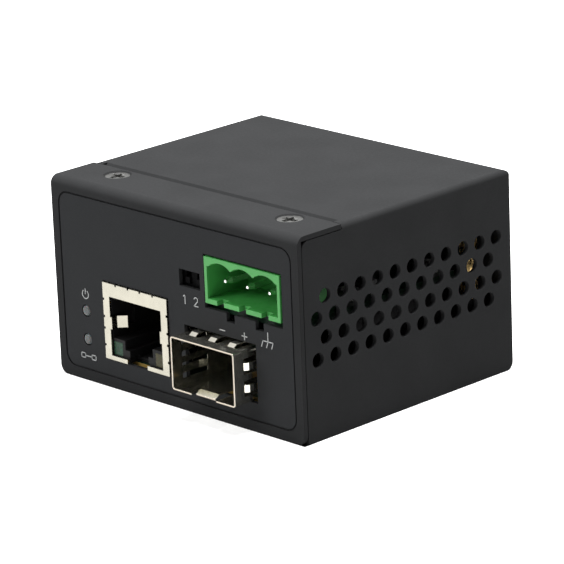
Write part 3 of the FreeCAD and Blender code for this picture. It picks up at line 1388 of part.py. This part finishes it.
# ---------------------------------------------------------------- board-to-board link

def make_link():
    """Pin strip on the main board that plugs into a socket under the power board."""
    wide = "link_pitch"
    long = "(link_rows * link_pitch / 2)"
    across = (f"link_x - {wide}", f"link_x + {wide}")
    run = (f"link_y - {long}", f"link_y + {long}")
    strip = block("link_strip_outside", across, run, ("board_top", "board_top + link_body"))
    socket = block("link_shell", across, run, (f"{UPPER_BOTTOM} - link_socket", UPPER_BOTTOM))
    strip_holes = []
    socket_holes = []
    pins = []
    for column in ("-0.5", "0.5"):
        for index in range(SIZES["link_rows"]):
            x = f"(link_x + {column} * link_pitch)"
            y = f"(link_y + ({index} - (link_rows - 1) / 2) * link_pitch)"
            name = f"{'a' if column == '-0.5' else 'b'}{index}"
            x_span = (f"{x} - link_pin / 2", f"{x} + link_pin / 2")
            y_span = (f"{y} - link_pin / 2", f"{y} + link_pin / 2")
            reach = f"{UPPER_BOTTOM} - link_socket / 2"
            pins.append(block(f"link_pin_{name}", x_span, y_span, ("board_top", reach)))
            strip_holes.append(block(f"link_strip_hole_{name}", x_span, y_span,
                                     ("board_top - sheet", "board_top + link_body + sheet")))
            socket_holes.append(block(f"link_socket_hole_{name}", x_span, y_span,
                                      (f"{UPPER_BOTTOM} - link_socket - sheet", reach)))
    seat("link_strip", [cut("link_strip_solid", strip, strip_holes)])
    seat("link_socket", [cut("link_socket_solid", socket, socket_holes)])
    seat("link_pins", pins)


# ---------------------------------------------------------------- components

def chip(name, kind, base):
    """Rectangular package resting on a board, with softened upper edges."""
    x, y = f"{kind}_x", f"{kind}_y"
    long = f"{kind}_long / 2"
    wide = f"{kind}_wide / 2"
    return package(name, (x, y), (long, wide), base, f"{kind}_high")


def package(name, centre, halves, base, high):
    x, y = centre
    half_x, half_y = halves
    body = block(f"{name}_package", (f"{x} - {half_x}", f"{x} + {half_x}"),
                 (f"{y} - {half_y}", f"{y} + {half_y}"), (base, f"{base} + {high}"))
    top = number(f"{base} + {high}")
    return dress("Part::Chamfer", f"{name}_edges", body, f"{high} / 6",
                 lambda edge: abs(edge.BoundBox.ZMin - top) < TOUCH)


def make_components():
    side = "controller_side / 2"
    seat("controller_chip", [package("controller", ("controller_x", "controller_y"),
                                     (side, side), "board_top", "controller_high")])
    seat("memory_chip", [chip("memory", "memory", "board_top")])
    crystal = block("crystal_package",
                    ("crystal_x - crystal_wide / 2", "crystal_x + crystal_wide / 2"),
                    ("crystal_y - crystal_long / 2", "crystal_y + crystal_long / 2"),
                    ("board_top", "board_top + crystal_high"))
    seat("crystal_can", [dress("Part::Fillet", "crystal_rounds", crystal, "crystal_wide / 2.2",
                               lambda edge: along(edge, "z"))])
    tantalum_places = (("row_x", "tantalum_y"),
                       ("board_half - tantalum_inset", "case_depth - tantalum_rear_gap"))
    tantalums = [package(f"tantalum_{index}", middle, ("tantalum_wide / 2", "tantalum_long / 2"),
                         "board_top", "tantalum_high")
                 for index, middle in enumerate(tantalum_places)]
    seat("tantalum_capacitors", tantalums)
    cans = []
    for index in range(2):
        x = f"(can_x + {index} * can_pitch)"
        can = rod(f"can_{index}_body", "Z", (x, "can_y", UPPER_TOP), "can_round", "can_high")
        top = number(f"{UPPER_TOP} + can_high")
        cans.append(dress("Part::Fillet", f"can_{index}", can, "soft_edge",
                          lambda edge: edge.Curve.TypeId == "Part::GeomCircle"
                          and abs(edge.BoundBox.ZMin - top) < TOUCH))
    seat("electrolytic_capacitors", cans)
    half = "inductor_side / 2"
    seat("power_inductor", [package("inductor", ("inductor_x", "inductor_y"), (half, half),
                                    UPPER_TOP, "inductor_high")])
    seat("regulator_chip", [chip("regulator", "regulator", UPPER_TOP)])
    seat("input_diode", [chip("diode", "diode", UPPER_TOP)])
    row = "(controller_y + controller_side / 2 + chip_gap)"
    chips = [package(f"chip_{index}",
                     (f"(controller_x + ({index} - (chip_count - 1) / 2) * chip_pitch)", row),
                     ("chip_wide / 2", "chip_long / 2"), "board_top", "chip_high")
             for index in range(SIZES["chip_count"])]
    seat("chip_capacitors", chips)


def make_pillar():
    """Slim brass pillar standing on a black spacer, beside the main board's rear corner."""
    x = "(board_half - pillar_inset)"
    low = "(case_height - pillar_high)"
    seat("pillar_spacer", [rod("spacer_rod", "Z", (x, "post_back", "board_top"), "spacer_round",
                               f"{low} - board_top")])
    seat("earth_pillar", [rod("pillar_rod", "Z", (x, "post_back", low), "pillar_round",
                              "pillar_high - pillar_low")])


# ---------------------------------------------------------------- build, check, write

def check_everything():
    """Stop at any failed feature or unsound solid, before a file is written."""
    document.recompute()
    for item in document.Objects:
        if "Invalid" in item.State or "Error" in item.State:
            raise ValueError(f"{item.Name} failed: {item.State}")
    for item in sub_parts:
        if item.Shape.isNull() or not item.Shape.isValid() or not item.Shape.Solids:
            raise ValueError(f"{item.Label} has no sound solid")


def write_parts():
    os.makedirs(OUTPUT, exist_ok=True)
    for item in sub_parts:
        item.Shape.exportStep(f"{OUTPUT}/{item.Label}.step")
        box = item.Shape.BoundBox
        print(f"{item.Label:24} solids {len(item.Shape.Solids):2}  volume {item.Shape.Volume:9.2f}"
              f"  x {box.XMin:7.2f} {box.XMax:7.2f}  y {box.YMin:7.2f} {box.YMax:7.2f}"
              f"  z {box.ZMin:6.2f} {box.ZMax:6.2f}")


make_chassis()
make_cover()
make_label()
make_cover_screws()
make_base_posts()
make_tall_posts()
make_board_screws()
make_main_board()
make_power_board()
make_jack_shield()
make_jack_housing()
make_jack_lenses()
make_jack_contacts()
make_cage()
make_host_connector()
make_header()
make_header_pins()
make_dip_switch()
make_dip_levers()
make_lamps()
make_link()
make_components()
make_pillar()
check_everything()
write_parts()
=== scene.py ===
"""Looks of the fibre media converter: finishes, printed marks, studio light and camera.

Every CAD node keeps its shape and gets a finish whose normals round its edges softly. The
printed marks on the front label are thin pieces of their own. Sizes and places are in
millimetres and turned into metres by MM, except where a comment says metres.
"""
import json
import math

import bpy
from mathutils import Matrix, Vector


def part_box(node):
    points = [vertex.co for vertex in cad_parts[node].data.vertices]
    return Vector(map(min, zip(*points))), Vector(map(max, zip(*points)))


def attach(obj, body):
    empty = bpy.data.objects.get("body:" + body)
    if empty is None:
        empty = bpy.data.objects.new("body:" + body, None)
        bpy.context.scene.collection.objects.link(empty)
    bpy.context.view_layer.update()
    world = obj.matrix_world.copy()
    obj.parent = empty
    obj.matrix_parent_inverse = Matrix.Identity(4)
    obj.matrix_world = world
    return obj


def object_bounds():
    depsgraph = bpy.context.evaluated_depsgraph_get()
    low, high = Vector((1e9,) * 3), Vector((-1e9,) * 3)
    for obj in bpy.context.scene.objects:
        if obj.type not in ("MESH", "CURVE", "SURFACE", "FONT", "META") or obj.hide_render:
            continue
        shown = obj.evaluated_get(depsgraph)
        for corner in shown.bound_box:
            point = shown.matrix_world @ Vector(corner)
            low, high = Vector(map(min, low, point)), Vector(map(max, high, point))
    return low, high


MM = 0.001

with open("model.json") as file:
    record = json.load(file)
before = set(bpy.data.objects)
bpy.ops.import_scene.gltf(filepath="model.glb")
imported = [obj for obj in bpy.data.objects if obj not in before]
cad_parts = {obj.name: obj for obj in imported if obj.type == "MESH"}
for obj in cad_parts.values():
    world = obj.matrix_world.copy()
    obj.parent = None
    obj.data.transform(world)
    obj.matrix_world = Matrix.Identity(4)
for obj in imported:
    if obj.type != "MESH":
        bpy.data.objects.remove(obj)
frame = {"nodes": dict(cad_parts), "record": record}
cad_low, cad_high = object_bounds()

# ---------------------------------------------------------------- camera

CAMERA_PLACE = (431.98, -416.85, 205.29)
CAMERA_AZIMUTH = 46.03       # degrees round from the front towards the right side
CAMERA_ELEVATION = 17.54     # degrees of downward look
CAMERA_ROLL = -2.29          # degrees
CAMERA_LENS = 240.9
CAMERA_SENSOR = 36


def make_camera():
    data = bpy.data.cameras.new("camera")
    data.sensor_width = CAMERA_SENSOR
    data.lens = CAMERA_LENS
    data.clip_start = 0.01
    data.clip_end = 20
    camera = bpy.data.objects.new("camera", data)
    bpy.context.collection.objects.link(camera)
    turn, dip, roll = (math.radians(value) for value in
                       (CAMERA_AZIMUTH, CAMERA_ELEVATION, CAMERA_ROLL))
    right = Vector((math.cos(turn), math.sin(turn), 0))
    ahead = Vector((-math.sin(turn) * math.cos(dip), math.cos(turn) * math.cos(dip),
                    -math.sin(dip)))
    up = right.cross(ahead)
    rolled_right = right * math.cos(roll) + up * math.sin(roll)
    rolled_up = up * math.cos(roll) - right * math.sin(roll)
    axes = Matrix((rolled_right, rolled_up, -ahead)).transposed()
    camera.matrix_world = Matrix.Translation(Vector(CAMERA_PLACE) * MM) @ axes.to_4x4()
    bpy.context.scene.camera = camera


# ---------------------------------------------------------------- shader nodes

def calculate(tree, operation, *values):
    """Result of a math node whose inputs are sockets or numbers."""
    node = tree.nodes.new("ShaderNodeMath")
    node.operation = operation
    for value, socket in zip(values, node.inputs):
        if isinstance(value, bpy.types.NodeSocket):
            tree.links.new(value, socket)
        else:
            socket.default_value = value
    return node.outputs[0]


def component(tree, vector, axis):
    """One axis of a vector."""
    parts = tree.nodes.new("ShaderNodeSeparateXYZ")
    tree.links.new(vector, parts.inputs[0])
    return parts.outputs[axis]


def grey_shader(tree, kind, level, strength=None):
    """Diffuse, emission or background shader of an even grey."""
    node = tree.nodes.new(kind)
    node.inputs["Color"].default_value = (level, level, level, 1)
    if strength is not None:
        node.inputs["Strength"].default_value = strength
    return node.outputs[0]


def mix_shaders(tree, share, first, second):
    """Blend from the first shader to the second as the share goes from 0 to 1."""
    mix = tree.nodes.new("ShaderNodeMixShader")
    for value, socket in zip((share, first, second), mix.inputs):
        tree.links.new(value, socket)
    return mix.outputs[0]


# ---------------------------------------------------------------- material building

EDGE_ROUND = 0.12            # radius that the shading gives every edge
EDGE_SAMPLES = 4
SEED_SHIFT = (1, 1.7, 2.3)   # how far a noise moves along each axis per step of its seed
MIX_FIRST, MIX_SECOND, MIX_RESULT = 6, 7, 2      # colour sockets of a mix node


class Surface:
    """A Principled material whose colour, roughness and relief vary over the surface."""

    def __init__(self, name, colour, roughness, metallic=0.0):
        self.material = bpy.data.materials.new(name)
        self.material.use_nodes = True
        self.tree = self.material.node_tree
        self.shader = self.tree.nodes["Principled BSDF"]
        self.set(Base_Color=(*colour, 1), Roughness=roughness, Metallic=metallic)
        self.colour = colour
        self.roughness = roughness
        self.place = self.tree.nodes.new("ShaderNodeTexCoord").outputs["Object"]
        edge = self.tree.nodes.new("ShaderNodeBevel")
        edge.samples = EDGE_SAMPLES
        edge.inputs["Radius"].default_value = EDGE_ROUND * MM
        self.use_normal(edge.outputs["Normal"])

    def set(self, **sockets):
        """Give shader inputs a value; a socket's name has underscores for its spaces."""
        for name, value in sockets.items():
            self.shader.inputs[name.replace("_", " ")].default_value = value

    def use_normal(self, normal):
        """Shade with this normal and let the next relief build on it."""
        self.normal = normal
        self.tree.links.new(normal, self.shader.inputs["Normal"])

    def noise(self, size, detail, rough=0.5, stretch=(1, 1, 1), seed=0):
        """Noise whose features are about the given size, in millimetres."""
        mapping = self.tree.nodes.new("ShaderNodeMapping")
        mapping.inputs["Location"].default_value = tuple(seed * step for step in SEED_SHIFT)
        mapping.inputs["Scale"].default_value = tuple(part / (size * MM) for part in stretch)
        texture = self.tree.nodes.new("ShaderNodeTexNoise")
        texture.inputs["Scale"].default_value = 1
        texture.inputs["Detail"].default_value = detail
        texture.inputs["Roughness"].default_value = rough
        self.tree.links.new(self.place, mapping.inputs["Vector"])
        self.tree.links.new(mapping.outputs["Vector"], texture.inputs["Vector"])
        return texture.outputs["Fac"]

    def facing(self, axis):
        """How far a face looks along an axis: 1 for faces square to it, 0 for faces along it."""
        geometry = self.tree.nodes.new("ShaderNodeNewGeometry")
        part = component(self.tree, geometry.outputs["True Normal"], axis)
        return calculate(self.tree, "ABSOLUTE", part)

    def spread(self, value, low, high, start=0.3, end=0.7):
        """Map the range of a texture from start to end onto the values from low to high."""
        ramp = self.tree.nodes.new("ShaderNodeMapRange")
        for name, number in (("From Min", start), ("From Max", end), ("To Min", low),
                             ("To Max", high)):
            ramp.inputs[name].default_value = number
        self.tree.links.new(value, ramp.inputs["Value"])
        return ramp.outputs["Result"]

    def vary_colour(self, value, other, strength, start=0.35, end=0.65):
        """Blend towards another colour as the texture goes from start to end."""
        mix = self.tree.nodes.new("ShaderNodeMix")
        mix.data_type = "RGBA"
        factor = self.spread(value, 0, strength, start, end)
        self.tree.links.new(factor, mix.inputs["Factor"])
        socket = self.shader.inputs["Base Color"]
        if socket.is_linked:
            self.tree.links.new(socket.links[0].from_socket, mix.inputs[MIX_FIRST])
        else:
            mix.inputs[MIX_FIRST].default_value = (*self.colour, 1)
        mix.inputs[MIX_SECOND].default_value = (*other, 1)
        self.tree.links.new(mix.outputs[MIX_RESULT], socket)

    def vary_roughness(self, value, reach):
        """Let the roughness go up and down by the reach."""
        result = self.spread(value, self.roughness - reach, self.roughness + reach)
        self.tree.links.new(result, self.shader.inputs["Roughness"])

    def relief(self, value, height, strength):
        """Add bump from a texture; the height is in millimetres."""
        bump = self.tree.nodes.new("ShaderNodeBump")
        bump.inputs["Strength"].default_value = strength
        bump.inputs["Distance"].default_value = height * MM
        self.tree.links.new(value, bump.inputs["Height"])
        self.tree.links.new(self.normal, bump.inputs["Normal"])
        self.use_normal(bump.outputs["Normal"])


def shade(colour, factor):
    """The colour made darker or lighter."""
    return tuple(min(1.0, part * factor) for part in colour)


def powder_coat(name, colour):
    """Fine matte powder coat: soft orange-peel with a tight grain on it."""
    coat = Surface(name, colour, 0.6)
    coat.set(Specular_IOR_Level=0.01)
    grain = coat.noise(0.2, detail=3, rough=0.6)
    coat.vary_colour(grain, shade(colour, 1.3), strength=0.45)
    coat.vary_colour(coat.noise(9, detail=2, seed=4), shade(colour, 0.88), strength=0.5)
    coat.vary_roughness(coat.noise(0.5, detail=2, seed=2), reach=0.05)
    coat.relief(grain, height=0.02, strength=0.5)
    return coat.material


def label_film(name, colour):
    """Matte polyester film with a very fine emboss."""
    film = Surface(name, colour, 0.55)
    film.set(Specular_IOR_Level=0.02)
    grain = film.noise(0.16, detail=2, rough=0.6)
    film.vary_colour(grain, shade(colour, 1.2), strength=0.5)
    film.vary_roughness(film.noise(5, detail=2, seed=3), reach=0.04)
    film.relief(grain, height=0.01, strength=0.5)
    return film.material


def metal(name, colour, roughness, stain, lines=0.0, painted_fore_aft_shade=None):
    """Bare or plated metal with faint cloudy stains.

    The lines are the depth of its rolling marks, in millimetres. The fore-aft shade is a
    painted shade on faces that look forwards or backwards, dimming their reflection.
    """
    plate = Surface(name, colour, roughness, metallic=1.0)
    plate.vary_colour(plate.noise(2.2, detail=3, seed=1), shade(colour, stain), strength=0.7)
    plate.vary_roughness(plate.noise(0.8, detail=3, seed=5), reach=roughness * 0.25)
    plate.relief(plate.noise(0.5, detail=2), height=0.004, strength=0.4)
    if lines:
        rolling = plate.noise(0.12, detail=2, stretch=(1, 0.04, 1), seed=9)
        plate.relief(rolling, height=lines, strength=0.4)
    # painted shade: faces that look forwards or backwards are darkened to dim their reflection
    if painted_fore_aft_shade:
        plate.vary_colour(plate.facing("Y"), painted_fore_aft_shade, strength=1, start=0.55, end=0.85)
    return plate.material


def moulded(name, colour, roughness, grain=0.02, sheen=0.5):
    """Injection-moulded plastic: slight flow marks and a fine spark-eroded texture."""
    part = Surface(name, colour, roughness)
    part.set(Specular_IOR_Level=sheen)
    part.vary_colour(part.noise(3.5, detail=2, seed=6), shade(colour, 0.86), strength=0.6)
    part.vary_roughness(part.noise(0.9, detail=2, seed=8), reach=0.05)
    part.relief(part.noise(0.2, detail=3, rough=0.6), height=grain, strength=0.5)
    return part.material


def lens(name, colour):
    """Unlit diffusing lens; the scale of its scattering is in metres."""
    part = Surface(name, colour, 0.28)
    part.set(Subsurface_Weight=0.3, Subsurface_Scale=0.0006, Specular_IOR_Level=0.15)
    part.vary_colour(part.noise(0.7, detail=2, seed=3), shade(colour, 1.25), strength=0.5)
    part.vary_roughness(part.noise(0.5, detail=1, seed=2), reach=0.06)
    part.relief(part.noise(0.3, detail=1), height=0.01, strength=0.4)
    return part.material


def laminate(name, edge=None):
    """Dark green solder mask over faint copper areas.

    The cut edges, which are the upright faces, can have a colour of their own.
    """
    mask = Surface(name, (0.003, 0.012, 0.006), 0.5)
    mask.set(Specular_IOR_Level=0.2)
    copper = mask.noise(2.6, detail=1, seed=1)
    mask.vary_colour(copper, (0.005, 0.019, 0.009), strength=0.9, start=0.48, end=0.52)
    mask.vary_roughness(mask.noise(1.2, detail=2, seed=4), reach=0.08)
    mask.relief(copper, height=0.03, strength=0.5)
    if edge:
        mask.vary_colour(mask.facing("Z"), edge, strength=1, start=0.6, end=0.4)
    return mask.material


def ink(name, colour):
    """Matte screen ink, slightly uneven."""
    paint = Surface(name, colour, 0.6)
    paint.set(Specular_IOR_Level=0.2)
    paint.vary_colour(paint.noise(0.25, detail=2), shade(colour, 0.75), strength=0.8)
    paint.vary_roughness(paint.noise(0.5, detail=1, seed=2), reach=0.05)
    return paint.material


def make_materials():
    """One material for each slot of the record, and the board with a bare edge."""
    return {
        "case_paint": powder_coat("case_paint", (0.0208, 0.0212, 0.0218)),
        "label_film": label_film("label_film", (0.0205, 0.0212, 0.0223)),
        "screw_black": metal("screw_black", (0.15, 0.15, 0.145), 0.36, stain=0.7),
        # plated steel gets painted shade on its forward and backward faces
        "plated_steel": metal("plated_steel", (0.72, 0.70, 0.61), 0.19, stain=0.9,
                              lines=0.002, painted_fore_aft_shade=(0.34, 0.30, 0.245)),
        "nickel_shield": metal("nickel_shield", (0.33, 0.315, 0.262), 0.26, stain=0.9,
                               lines=0.002),
        "zinc_steel": metal("zinc_steel", (0.30, 0.30, 0.29), 0.4, stain=0.8),
        "brass": metal("brass", (0.80, 0.56, 0.24), 0.28, stain=0.8),
        "gold_contact": metal("gold_contact", (0.93, 0.68, 0.27), 0.2, stain=0.9),
        "tinned_pin": metal("tinned_pin", (0.80, 0.80, 0.77), 0.2, stain=0.9),
        "board_laminate": laminate("board_laminate"),
        "bare_edge_laminate": laminate("bare_edge_laminate", edge=(0.30, 0.20, 0.05)),
        "housing_black": moulded("housing_black", (0.004, 0.004, 0.0043), 0.55, sheen=0.12),
        "header_green": moulded("header_green", (0.042, 0.25, 0.052), 0.4, grain=0.008,
                                sheen=0.3),
        "lens_green": lens("lens_green", (0.009, 0.036, 0.018)),
        "lens_yellow": lens("lens_yellow", (0.032, 0.029, 0.008)),
        "lamp_clear": lens("lamp_clear", (0.079, 0.084, 0.084)),
        "switch_black": moulded("switch_black", (0.0018, 0.0018, 0.0020), 0.65, sheen=0.03),
        "package_black": moulded("package_black", (0.010, 0.010, 0.011), 0.5, grain=0.03),
        "can_metal": metal("can_metal", (0.30, 0.30, 0.30), 0.35, stain=0.9),
        "tantalum_yellow": moulded("tantalum_yellow", (0.42, 0.22, 0.04), 0.4),
        "ferrite": moulded("ferrite", (0.03, 0.03, 0.032), 0.6, grain=0.05),
        "chip_ceramic": moulded("chip_ceramic", (0.25, 0.17, 0.10), 0.45),
    }


def dress(piece, material):
    """Give a piece this material alone."""
    piece.data.materials.clear()
    piece.data.materials.append(material)


# ---------------------------------------------------------------- studio

WORLD_LIGHT = 0.23
LAMPS = (                    # name, place and side in metres, watts
    ("key_box", (-0.45, -0.75, 0.65), 0.5, 8.4),
    ("top_box", (0.05, 0.1, 1.0), 0.45, 33.0),
)
FLOOR_REACH = 3.0            # metres from the middle to each side
FLOOR_GAP = 0.02             # between the case and the floor
FLOOR_LIGHTING = 0.45        # grey that lights the part
FLOOR_SHOWN = 0.55           # grey that the camera sees
FLOOR_LIFT = 0.60            # glow that makes the grey read as white
FLOOR_PAINTED_SHADOW = 0.02      # grey of the painted shadow right under the case
FOOTPRINT_INSET = 2.0        # of the painted shadow at the case's left side, past the round corner


def light_path_mix(tree, own, shown):
    """Use one shader for lighting, and show the other to the camera, mirrors and glass."""
    path = tree.nodes.new("ShaderNodeLightPath")
    seen = path.outputs["Is Camera Ray"]
    for name in ("Is Glossy Ray", "Is Transmission Ray"):
        seen = calculate(tree, "MAXIMUM", seen, path.outputs[name])
    return mix_shaders(tree, seen, own, shown)


def make_world():
    """Dim light from all round, shown as white."""
    world = bpy.data.worlds.new("studio")
    bpy.context.scene.world = world
    world.use_nodes = True
    tree = world.node_tree
    tree.nodes.clear()
    soft = grey_shader(tree, "ShaderNodeBackground", 1, strength=WORLD_LIGHT)
    white = grey_shader(tree, "ShaderNodeBackground", 1, strength=1)
    output = tree.nodes.new("ShaderNodeOutputWorld")
    tree.links.new(light_path_mix(tree, soft, white), output.inputs["Surface"])


def outside_footprint(tree):
    """1 on open floor and 0 under the case, where the floor is given a painted shadow."""
    low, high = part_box("front_chassis")
    place = tree.nodes.new("ShaderNodeNewGeometry").outputs["Position"]
    x, y = component(tree, place, "X"), component(tree, place, "Y")
    outside = calculate(tree, "LESS_THAN", x, low.x + FOOTPRINT_INSET * MM)
    for operation, part, limit in (("GREATER_THAN", x, high.x), ("LESS_THAN", y, low.y),
                                   ("GREATER_THAN", y, high.y)):
        beyond = calculate(tree, operation, part, limit)
        outside = calculate(tree, "MAXIMUM", outside, beyond)
    return outside


def floor_material():
    """Grey for lighting; shown as white with soft shadows and a painted shadow under the case.
    """
    material = bpy.data.materials.new("floor")
    material.use_nodes = True
    tree = material.node_tree
    tree.nodes.clear()
    lighting = grey_shader(tree, "ShaderNodeBsdfDiffuse", FLOOR_LIGHTING)
    pale = tree.nodes.new("ShaderNodeAddShader")
    tree.links.new(grey_shader(tree, "ShaderNodeBsdfDiffuse", FLOOR_SHOWN), pale.inputs[0])
    tree.links.new(grey_shader(tree, "ShaderNodeEmission", 1, strength=FLOOR_LIFT),
                   pale.inputs[1])
    # painted shadow: the camera sees the floor under the case as near black
    dark = grey_shader(tree, "ShaderNodeBsdfDiffuse", FLOOR_PAINTED_SHADOW)
    shown = mix_shaders(tree, outside_footprint(tree), dark, pale.outputs[0])
    output = tree.nodes.new("ShaderNodeOutputMaterial")
    tree.links.new(light_path_mix(tree, lighting, shown), output.inputs["Surface"])
    return material


def make_floor():
    """Wide floor just under the case."""
    mesh = bpy.data.meshes.new("floor")
    mesh.from_pydata([(-FLOOR_REACH, -FLOOR_REACH, 0), (FLOOR_REACH, -FLOOR_REACH, 0),
                      (FLOOR_REACH, FLOOR_REACH, 0), (-FLOOR_REACH, FLOOR_REACH, 0)],
                     [], [(0, 1, 2, 3)])
    floor = bpy.data.objects.new("floor", mesh)
    bpy.context.collection.objects.link(floor)
    floor.location.z = cad_low.z - FLOOR_GAP * MM
    dress(floor, floor_material())


def make_lamp(name, place, side, watts):
    """Square soft box that looks at the part."""
    data = bpy.data.lights.new(name, "AREA")
    data.shape = "SQUARE"
    data.size = side
    data.energy = watts
    lamp = bpy.data.objects.new(name, data)
    bpy.context.collection.objects.link(lamp)
    lamp.location = place
    aim = (cad_low + cad_high) / 2 - Vector(place)
    lamp.rotation_euler = aim.to_track_quat("-Z", "Y").to_euler()


def make_studio():
    make_world()
    make_floor()
    for lamp in LAMPS:
        make_lamp(*lamp)


# ---------------------------------------------------------------- printed marks

INK = ink("ink", (0.42, 0.43, 0.43))
PRINT_THICK = 0.02
PRINT_DEPTH = PRINT_THICK * 0.9      # leaves a hair of air between ink and label
PRINT_LINE = 0.17                    # width of a printed line
RING_STEPS = 20

HEADER_PITCH = 5.08
POLE_SIGN_DROP = 7.9                 # from the header's middle
POLE_SIGN_REACH = 0.55               # from the middle of a plus or minus to its ends
EARTH_SHIFT, EARTH_LIFT = 0.3, 0.2   # of the earth sign from its pole and the other signs
EARTH_REACH, EARTH_STEM = 1.15, 1.5
EARTH_SLANT, EARTH_FALL = 0.35, 1.0  # sideways and down along a slanted stroke
FIGURE_DROP = 0.45                   # from the power board's top to a figure's middle
FIGURE_REACH = 0.75                  # from a figure's middle to its top or foot
POWER_LIFT = 2.9                     # from the power lamp
POWER_RADIUS = 0.75
LINK_DROP = 3.0                      # from the link lamp
LINK_SHIFT = 1.3                     # from the link sign's middle to a box's middle
LINK_WIDE, LINK_TALL = 0.5, 0.4      # half the width and height of a box


def face_of_label():
    """Place of the label's front face, in millimetres."""
    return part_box("front_label")[0].y / MM


def middle_of(node):
    """Middle of a node in x and z, in millimetres."""
    low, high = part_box(node)
    return (low.x + high.x) / 2 / MM, (low.z + high.z) / 2 / MM


def bar(start, end):
    """Corners of a straight printed line with squared ends, in x and z."""
    a, b = Vector(start), Vector(end)
    run = (b - a).normalized()
    side = Vector((-run.y, run.x)) * PRINT_LINE / 2
    a, b = a - run * PRINT_LINE / 2, b + run * PRINT_LINE / 2
    return [a + side, a - side, b - side, b + side]


def level_bar(x, z, reach):
    """Level printed line that reaches to both sides of a point."""
    return bar((x - reach, z), (x + reach, z))


def arc(centre, radius, begin, end):
    """Four-cornered pieces of a printed ring between two angles in degrees."""
    turns = [math.radians(begin + (end - begin) * step / RING_STEPS)
             for step in range(RING_STEPS + 1)]
    inner, outer = radius - PRINT_LINE / 2, radius + PRINT_LINE / 2
    rays = [Vector((math.cos(turn), math.sin(turn))) for turn in turns]
    middle = Vector(centre)
    return [[middle + ray * inner, middle + following * inner,
             middle + following * outer, middle + ray * outer]
            for ray, following in zip(rays, rays[1:])]


def print_mark(name, quads):
    """Thin ink piece made of four-cornered patches in front of the label."""
    face = face_of_label() - PRINT_THICK
    verts, faces = [], []
    for quad in quads:
        front = [len(verts) + index for index in range(4)]
        back = [index + 4 for index in front]
        for depth in (0, PRINT_DEPTH):
            verts += [Vector((corner.x, face + depth, corner.y)) * MM for corner in quad]
        faces += [front, back[::-1]]
        for index, following in ((0, 1), (1, 2), (2, 3), (3, 0)):
            faces.append([front[index], back[index], back[following], front[following]])
    mesh = bpy.data.meshes.new(name)
    mesh.from_pydata(verts, [], faces)
    mesh.update()
    piece = bpy.data.objects.new(name, mesh)
    bpy.context.collection.objects.link(piece)
    dress(piece, INK)
    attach(piece, "case")


def mark_header():
    """Plus, minus and chassis-earth signs below the header's poles."""
    x, header_z = middle_of("terminal_header")
    z = header_z - POLE_SIGN_DROP
    print_mark("mark_plus", [level_bar(x, z, POLE_SIGN_REACH),
                             bar((x, z - POLE_SIGN_REACH), (x, z + POLE_SIGN_REACH))])
    print_mark("mark_minus", [level_bar(x - HEADER_PITCH, z, POLE_SIGN_REACH)])
    x, z = x + HEADER_PITCH + EARTH_SHIFT, z + EARTH_LIFT
    strokes = [bar((x, z + EARTH_STEM), (x, z)), level_bar(x, z, EARTH_REACH)]
    for top in (x + step * EARTH_REACH for step in (-1, 0, 1)):
        strokes.append(bar((top, z), (top - EARTH_SLANT, z - EARTH_FALL)))
    print_mark("mark_chassis_earth", strokes)


def mark_switch():
    """The figures 1 and 2 below the levers."""
    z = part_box("power_board")[1].z / MM - FIGURE_DROP
    top, foot = z + FIGURE_REACH, z - FIGURE_REACH
    x = middle_of("dip_lever_1")[0]
    print_mark("mark_switch_1", [bar((x, foot), (x, top)), bar((x, top), (x - 0.35, z + 0.45))])
    x = middle_of("dip_lever_2")[0]
    print_mark("mark_switch_2", arc((x, z + 0.3), 0.42, 165, -30)
               + [bar((x + 0.36, z + 0.08), (x - 0.42, foot)),
                  bar((x - 0.42, foot), (x + 0.45, foot))])


def mark_power():
    """Power sign above its lamp: an open ring with a stroke in the gap."""
    x, lamp_z = middle_of("power_lamp")
    z = lamp_z + POWER_LIFT
    print_mark("mark_power", arc((x, z), POWER_RADIUS, 125, 415)
               + [bar((x, z + 0.1), (x, z + 0.95))])


def mark_link():
    """Link sign below its lamp: two boxes joined by a line."""
    x, lamp_z = middle_of("link_lamp")
    z = lamp_z - LINK_DROP
    strokes = []
    for middle in (x - LINK_SHIFT, x + LINK_SHIFT):
        left, right = middle - LINK_WIDE, middle + LINK_WIDE
        corners = [(left, z - LINK_TALL), (right, z - LINK_TALL), (right, z + LINK_TALL),
                   (left, z + LINK_TALL)]
        strokes += [bar(a, b) for a, b in zip(corners, corners[1:] + corners[:1])]
    strokes.append(level_bar(x, z, LINK_SHIFT - LINK_WIDE))
    print_mark("mark_link", strokes)


def make_marks():
    """Generic signs: poles of the header, numbers of the switch, power and link lamps."""
    mark_header()
    mark_switch()
    mark_power()
    mark_link()


# ---------------------------------------------------------------- bodies of the part

MATERIALS = make_materials()
SLOT_OF = {entry["node"]: entry["material_slot"] for entry in frame["record"]["subparts"]}


def dress_nodes():
    """Give each node its slot's material; the main board also shows its bare edge."""
    for node, piece in frame["nodes"].items():
        slot = "bare_edge_laminate" if node == "main_board" else SLOT_OF[node]
        dress(piece, MATERIALS[slot])


make_camera()
make_studio()
dress_nodes()
make_marks()

bpy.context.scene.view_settings.view_transform = "Standard"
